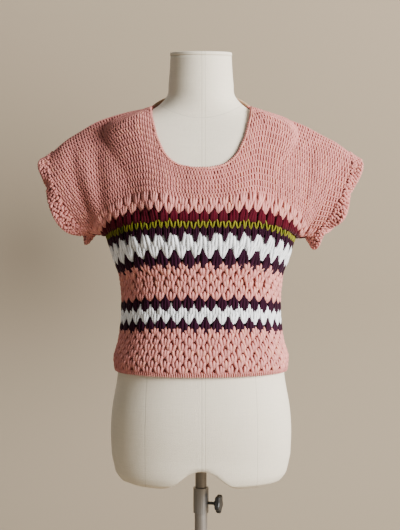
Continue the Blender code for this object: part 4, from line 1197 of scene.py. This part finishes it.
class Ruffle:
    """The lobed edging of one sleeve as a surface: turn round the cuff, way from cuff to edge."""

    def __init__(self, side):
        self.side = side
        level = np.linspace(0.0, 1.0, 241)
        share = np.full(level.shape, float(side))
        front = yoke[-1](share, level)
        back = yoke[1](share, level[::-1])
        points = np.concatenate([front[0], back[0][1:-1]])
        normals = np.concatenate([front[1], back[1][1:-1]])
        self.loop, self.facing, away = even_loop(points - 0.5 * WALL * normals, normals, RUFFLE_STEPS, -side)
        for _round in range(RUFFLE_SMOOTHING):
            away = unit(np.roll(away, 1, axis=0) + 2 * away + np.roll(away, -1, axis=0))
        height = self.loop[:, 2]
        low = 1.0 - (height - height.min()) / np.ptp(height)
        self.away = unit(away - np.outer(RUFFLE_FALL[0] + RUFFLE_FALL[1] * low**3, (0.0, 0.0, 1.0)))
        self.around = line_length(self.loop)

    def point(self, turn, way):
        """Out along the cuff's plane by the lobe's depth, and swung in and out by its wave."""
        rise, wave = lobe_shape(self.side, turn)
        swing = RUFFLE_WAVE * wave * np.maximum(way, 0.0) ** RUFFLE_WAVE_POWER
        base = looped_read(self.loop, turn)
        away = looped_read(self.away, turn)
        facing = looped_read(self.facing, turn)
        return base + away * ((RUFFLE_DEPTH + rise) * way)[..., None] + facing * swing[..., None]

    def __call__(self, turn, way):
        """Points and normals, from small steps round and out."""
        turn, way = np.broadcast_arrays(turn, way)
        around = self.point(turn + 2e-3, way) - self.point(turn - 2e-3, way)
        reach = self.point(turn, way + 0.02) - self.point(turn, way - 0.02)
        return self.point(turn, way), unit(np.cross(around, reach)) * -self.side


def build_ruffle(side, name):
    """A thin ground in rounded lobes, with rows of small puffed stitches over both its faces."""
    surface = Ruffle(side)
    turn = (np.arange(240) / 240)[:, None]
    points, normals = surface(turn, np.linspace(0.03, 0.97, 7)[None, :])
    points, quads = ring_shell_mesh(points + normals * RUFFLE_GROUND, points - normals * RUFFLE_GROUND)
    # Painted shade: the ruffle's ground takes the pink yarn's shade colour.
    painted_shade = np.tile(YARNS["pink"][2], (len(points), 1))
    piece = ground_piece("ruffle_ground_" + name, (points, quads), painted_shade)
    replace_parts(piece, "sleeve_edging_" + name)
    strands = Strands()
    out = np.linspace(0.0, 1.0, 5)
    lift = lift_along("puff", out)
    thick = PUFF_YARN * thickness_along("puff", out)
    for number, (level, count) in enumerate(RUFFLE_ROWS):
        for outer in (1, -1):
            aside, above, fat, lean = rng.normal(0.0, 1.0, (4, count, 1))
            middle = np.arange(count)[:, None] + 0.5 * (number % 2) + PUFF_STRAY["aside"] * aside
            slant = PUFF_LEAN * (-1) ** number + PUFF_STRAY["lean"] * lean
            turn = (middle + slant * (out - 0.5)) / count
            way = level + PUFF_STRAY["reach"] * above + PUFF_REACH * out
            half = thick * (1 + THICKNESS_STRAY["puff"] * fat)
            strands.lay(surface, turn, way, outer * lift, half, flat=0.95, outer=outer)
    turn = (np.arange(EDGE_LOOPS)[:, None] + 0.5 + EDGE_LOOP_LENGTH * (out - 0.5)) / EDGE_LOOPS
    way = EDGE_START + EDGE_BEND * np.sin(np.pi * out)
    swing = EDGE_SWING * np.sin(2 * np.pi * out)
    strands.lay(surface, turn, way, swing, EDGE_YARN * thickness_along("edge", out))
    stitches = strands.piece(f"ruffle_{name}_stitches", "pink")


def build_neck_edging():
    """Single stitches round the neck opening, each a short strand bent over the cloth's edge."""
    shares = np.linspace(-yoke[-1].neck_share, yoke[-1].neck_share, 241)
    front = yoke[-1](shares, yoke[-1].top_at(shares))
    back = yoke[1](shares[::-1], np.ones(241))
    points = np.concatenate([front[0], back[0][1:-1]])
    normals = np.concatenate([front[1], back[1][1:-1]])
    lines = even_loop(points - 0.5 * WALL * normals, normals, NECK_STITCHES * 4, 1.0)
    way = np.linspace(0.0, 1.0, 7)
    turn = (np.arange(NECK_STITCHES)[:, None] + NECK_SLANT * (way - 0.5)) / NECK_STITCHES
    loop, facing, away = (looped_read(line, turn) for line in lines)
    out = np.cos(np.pi * (way - 0.5))[:, None]
    down = -np.sin(np.pi * (way - 0.5))[:, None]
    centre = loop + away * (NECK_OUT + NECK_BEND * out) + facing * (NECK_BEND * down)
    outward = unit(away * out + facing * down)
    thick = NECK_YARN * thickness_along("neck", way)
    behind = centre[:, 3, 1] > RIDGE_Y + NECK_BACK_FROM
    for name, own, yarn in (("front", ~behind, "pink"), ("back", behind, "tan")):
        strands = Strands()
        strands.add(centre[own], outward[own], thick, thick * 0.7)
        if name == "front":
            loop, facing, away = (looped_read(line, np.arange(300) / 300)[None] for line in lines)
            strands.add(loop + away * NECK_CORD_OUT, facing, EDGING_CORD, EDGING_CORD, closed=True)
        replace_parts(strands.piece(f"neck_edging_{name}_stitches", yarn), "neck_edging")


def build_hem_edging():
    """Single stitches along the hem, each a short upright strand, with a cord behind them."""
    strands = Strands()
    middle = HEM_HEIGHT - HEM_STITCH_MIDDLE
    centre, per_metre, pitch = row_places(body_surface, middle, *FULL_TURN, HEM_STITCHES, 0)
    way = np.linspace(0.0, 1.0, 6)
    u = centre[:, None] + HEM_SLANT * (way - 0.5) * pitch * per_metre[:, None]
    v = np.broadcast_to(HEM_HEIGHT + HEM_STITCH_TOP - HEM_STITCH_LENGTH * way, u.shape)
    points, normals = body_surface(u, v)
    points[..., 2] += np.minimum(0.0, v - HEM_TURN_HEIGHT)
    thick = HEM_YARN * pitch * thickness_along("hem", way)
    strands.add(points + normals * lift_along("hem", way)[:, None], normals, thick, thick)
    angle = np.linspace(-np.pi, np.pi, 240, endpoint=False)
    for depth, radius in HEM_CORDS:
        points, normals = body_surface(angle, np.full(angle.shape, HEM_HEIGHT - depth))
        strands.add((points - normals * HEM_CORD_IN)[None], normals[None], radius, radius, closed=True)
    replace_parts(strands.piece("hem_edging_stitches", "pink"), "hem_edging")


def linen_material():
    """Plain-woven cream linen: warp and weft waves with slubs, and the form's stitched seams."""
    material, nodes = principled("linen", 0.86, specular=0.25, sheen=0.08)
    place = nodes.place()
    split = nodes.add("ShaderNodeSeparateXYZ", {"Vector": place}).outputs
    warp, weft = (
        nodes.math("SINE", nodes.math("MULTIPLY", way, 2 * math.pi / LINEN_THREAD))
        for way in (nodes.attribute("around"), split["Z"])
    )
    slubs = nodes.noise(nodes.mapped(place, (30.0, 30.0, 420.0)), 1.0, 3.0)
    threads = nodes.noise(nodes.mapped(place, (500.0, 500.0, 25.0)), 1.0, 3.0)
    mixed = nodes.math("ADD", nodes.math("ADD", slubs, threads), nodes.noise(place, 6.0, 3.0))
    near = NO_SEAM
    lines = [nodes.math("SUBTRACT", split["X"], seam) for seam in CENTRE_SEAMS]
    for line in lines + [nodes.attribute("side_seam"), nodes.attribute("neck_seam")]:
        near = nodes.math("MINIMUM", near, nodes.math("ABSOLUTE", line))
    tone = nodes.ramp(mixed, ends=(1.0, 2.0), to=(0.94, 1.05))
    line = nodes.ramp(near, ends=(0.0003, 0.0013), to=(0.84, 1.0))
    seam = nodes.ramp(near, ends=(0.0, 0.0020), to=(-0.9, 0.0), interpolation_type="SMOOTHSTEP")
    fine = nodes.math("MULTIPLY", nodes.math("MULTIPLY", warp, weft), FINE_SHARE)
    height = nodes.math("ADD", nodes.math("ADD", fine, mixed), seam)
    toned = nodes.scaled(LINEN, nodes.math("MULTIPLY", tone, line))
    nodes.finish(toned, height, distance=0.0004, strength=0.5)
    return material


def ring(x, y, height):
    """A ring of points from how far they lie across, along and up."""
    return np.stack(np.broadcast_arrays(x, y, height), axis=-1)


def rings_mesh(rings):
    """Rings of points joined one to the next, with both ends closed."""
    count, segments = rings.shape[:2]
    first = np.arange(segments)
    last = first + (count - 1) * segments
    quads = [grid_quads(count, segments, wrap=True), close_end(first), close_end(last)[:, ::-1]]
    return rings.reshape(-1, 3), np.concatenate(quads)


def linen_piece(name, rings, **attributes):
    """Rings of points in linen, with a number at each point for every named attribute."""
    points, quads = rings_mesh(rings)
    piece = new_piece(name, points, quads, linen)
    for key, values in attributes.items():
        values = np.broadcast_to(np.ravel(values), len(points)).astype(np.float32)
        piece.data.attributes.new(key, "FLOAT", "POINT").data.foreach_set("value", values)
    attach(piece, "form")
    return piece


def build_form():
    """The torso: rounded sections from the socket under the lobes up to the neck."""
    angle = 2 * np.pi * np.arange(TORSO_SEGMENTS) / TORSO_SEGMENTS
    x = SOCKET_RADIUS * np.sin(angle)
    y = -SOCKET_RADIUS * np.cos(angle)
    rings = [ring(x * 0.02, y * 0.02, SOCKET_TOP)]
    rings += [ring(x, y, height) for height in (SOCKET_TOP, LOBE_HEIGHT + NOTCH_RISE)]
    lowest = FORM_SECTIONS["height"][0]
    x_low, y_low = section_point(FORM_SECTIONS, angle, np.full(angle.shape, lowest))
    keys = np.append(FORM_UNDERSIDE["share"][::-1], 1.0)
    rises = np.append(FORM_UNDERSIDE["rise"][::-1], lowest - LOBE_HEIGHT)
    for share in np.concatenate([np.linspace(0.10, 0.80, 15), np.linspace(0.82, 0.99, 12)]):
        notch = NOTCH_RISE * np.exp(-((np.abs(x_low * share) / NOTCH_WIDTH) ** NOTCH_POWER))
        rise = np.maximum(np.interp(share, keys, rises), notch)
        rings.append(ring(x_low * share, y_low * share, LOBE_HEIGHT + rise))
    for height in np.linspace(lowest, NECK_TOP, 150):
        x, y = section_point(FORM_SECTIONS, angle, np.full(angle.shape, height))
        rings.append(ring(x, np.where(y < 0, y - bust_rise(x, height), y), height))
    rings.append(rings[-1] * (0.002, 0.002, 1.0))
    rings = np.array(rings)
    x, y, z = np.moveaxis(rings, -1, 0)
    steps = np.linalg.norm(np.diff(rings, axis=1), axis=-1)
    around = np.concatenate([np.zeros((len(rings), 1)), np.cumsum(steps, axis=1)], axis=1)
    off_seam = np.abs(x) - smooth_read(PRINCESS_SEAM, "out", z)
    side_seam = np.where(z < PRINCESS_TOP, off_seam, NO_SEAM)
    neck_seam = np.where(y < 0, z - NECK_SEAM[0] - NECK_SEAM[1] * x**2, NO_SEAM)
    torso = linen_piece("torso", rings, around=around, side_seam=side_seam, neck_seam=neck_seam)
    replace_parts(torso, "form_torso")


def close_end(order):
    """Four-sided faces that close a ring of an even number of points, like rungs of a ladder."""
    half = len(order) // 2
    one = order[:half]
    other = order[:half - 1:-1]
    return np.stack([one[:-1], one[1:], other[1:], other[:-1]], axis=-1)


def build_neck_cap():
    """The neck's covered lid: a flat disc with a corded edge under it and a soft domed rim."""
    angle = 2 * np.pi * np.arange(CAP_SEGMENTS) / CAP_SEGMENTS
    x, y = section_point(FORM_SECTIONS, angle, np.full(angle.shape, NECK_TOP))
    low = NECK_TOP + SEAT_GAP
    rings = np.array([ring(x * row["scale"], y * row["scale"], low + row["rise"]) for row in CAP_PROFILE])
    cap = linen_piece("neck_cap", rings, around=rings[..., 0], side_seam=NO_SEAM, neck_seam=NO_SEAM)
    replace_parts(cap, "form_neck_cap")


def metal_material(name, colour, roughness):
    """Brushed and handled metal: fine rings round the tube, with soft smudges in the gloss."""
    material, nodes = principled(name, roughness, metallic=0.85)
    place = nodes.place()
    brushed = nodes.noise(nodes.mapped(place, (60.0, 60.0, 2500.0)), 1.0, 3.0)
    smudges = nodes.noise(place, 25.0, 4.0)
    rough = nodes.ramp(smudges, ends=(0.3, 0.7), to=(roughness - 0.08, roughness + 0.12))
    toned = nodes.scaled(colour, nodes.ramp(brushed, to=(0.85, 1.12)))
    nodes.finish(toned, brushed, distance=0.00005, strength=0.4, rough=rough)
    return material


def moulded_material(name, colour, roughness):
    """Moulded black plastic or painted metal: a fine grain in its surface and its gloss."""
    material, nodes = principled(name, roughness)
    place = nodes.place()
    grain = nodes.noise(place, 1400.0, 2.0)
    dust = nodes.noise(place, 30.0, 5.0)
    rough = nodes.ramp(dust, ends=(0.35, 0.7), to=(roughness - 0.08, roughness + 0.18))
    toned = nodes.scaled(colour, nodes.ramp(dust, ends=(0.3, 0.8), to=(0.9, 1.5)))
    nodes.finish(toned, grain, distance=0.00015, strength=0.5, rough=rough)
    return material


def finish_stand():
    """The stand's nodes keep their shapes and take their own finishes."""
    finishes = {
        "inner_tube": metal_material("dark steel", (0.23, 0.21, 0.19), 0.36),
        "outer_tube": metal_material("grey steel", (0.32, 0.30, 0.28), 0.40),
        "clamp_collar": metal_material("collar steel", (0.30, 0.29, 0.28), 0.34),
        "clamp_screw": moulded_material("black plastic", (0.012, 0.012, 0.012), 0.42),
        "base_boss": moulded_material("boss paint", (0.09, 0.088, 0.085), 0.45),
        "base_plate": moulded_material("base paint", (0.09, 0.088, 0.085), 0.45),
    }
    for name, finish in finishes.items():
        node = bpy.data.objects[name]
        for place in range(len(node.material_slots)):
            node.material_slots[place].material = finish


def paper_material():
    """Matt studio paper with a soft painted shadow, and nothing to see of it from behind."""
    material, nodes = principled("studio paper", 0.95, specular=0.1)
    # Painted shadow: the paper's colour darkens softly round one place.
    painted_shadow = nodes.mapped(nodes.place(), PAINTED_SHADOW_SCALE, PAINTED_SHADOW_PLACE)
    hill = nodes.add("ShaderNodeTexGradient", {"Vector": painted_shadow}, gradient_type="QUADRATIC_SPHERE")
    toned = nodes.scaled(PAPER, nodes.ramp(hill.outputs["Fac"], to=(1.0, PAINTED_SHADOW_DARKEST)))
    behind = nodes.add("ShaderNodeNewGeometry").outputs["Backfacing"]
    clear = nodes.add("ShaderNodeBsdfTransparent").outputs["BSDF"]
    both = nodes.add("ShaderNodeMixShader", {0: behind, 1: nodes.shader.outputs["BSDF"], 2: clear})
    nodes.tree.links.new(toned, nodes.shader.inputs["Base Color"])
    nodes.tree.links.new(both.outputs[0], nodes.tree.nodes["Material Output"].inputs["Surface"])
    return material


def stage_piece(name, across, depth, height, material):
    """A sheet of the stage from its profile of depths and heights, as wide as across says."""
    x, y = np.meshgrid(across, depth, indexing="ij")
    points = ring(x, y, height).reshape(-1, 3)
    mesh = bpy.data.meshes.new(name)
    mesh.from_pydata(points.tolist(), [], grid_quads(len(across), len(depth)).tolist())
    mesh.shade_smooth()
    mesh.materials.append(material)
    in_scene(name, mesh)


def build_stage():
    """A pale floor that curves up into a plain wall behind, on a wider floor of the same paper."""
    material = paper_material()
    bend = np.linspace(0.0, 0.5 * np.pi, 13)
    depth = np.concatenate([[-2.0, 0.0], WALL_Y - WALL_BEND + WALL_BEND * np.sin(bend), [WALL_Y, WALL_Y]])
    height = np.concatenate([[0.0, 0.0], WALL_BEND - WALL_BEND * np.cos(bend), [3.0, 6.0]]) - 0.0005
    stage_piece("studio_paper", np.linspace(-4.0, 4.0, 9), depth, height, material)
    floor = np.linspace(-14.0, 14.0, 9)
    stage_piece("studio_floor", floor, floor, np.full(9, -0.0015), material)


def area_light(name, place, target, size, power, colour):
    """A soft square light that faces its target."""
    data = bpy.data.lights.new(name, "AREA")
    data.shape = "SQUARE"
    data.size = size
    data.energy = power
    data.color = colour
    light = in_scene(name, data)
    aim = np.array(target) - np.array(place)
    tilt = math.atan2(math.hypot(aim[0], aim[1]), -aim[2])
    light.location = place
    light.rotation_euler = (tilt, 0.0, math.atan2(aim[1], aim[0]) - 0.5 * math.pi)


def build_lights():
    """A large soft key from the viewer's right, weak lights from the left and behind, and a warm sky."""
    for light in LIGHTS:
        area_light(*light)
    world = bpy.data.worlds.new("room")
    world.use_nodes = True
    sky = world.node_tree.nodes["Background"].inputs
    sky["Color"].default_value = SKY
    sky["Strength"].default_value = SKY_STRENGTH
    bpy.context.scene.world = world


def build_camera():
    """A long lens at chest height, pitched a little down, with a small downward shift."""
    data = bpy.data.cameras.new("camera")
    data.lens = LENS
    data.sensor_width = 36.0
    data.sensor_fit = "AUTO"
    data.shift_y = CAMERA_SHIFT
    data.clip_end = 50.0
    camera = in_scene("camera", data)
    camera.location = CAMERA_PLACE
    camera.rotation_euler = (math.radians(90.0 - CAMERA_PITCH), 0.0, 0.0)
    bpy.context.scene.camera = camera


linen = linen_material()
build_camera()
build_stage()
build_lights()
finish_stand()
build_form()
build_neck_cap()
build_body()
for yoke_face in FACE_NAMES:
    build_yoke(yoke_face)
build_ruffle(-1, "left")
build_ruffle(1, "right")
build_neck_edging()
build_hem_edging()
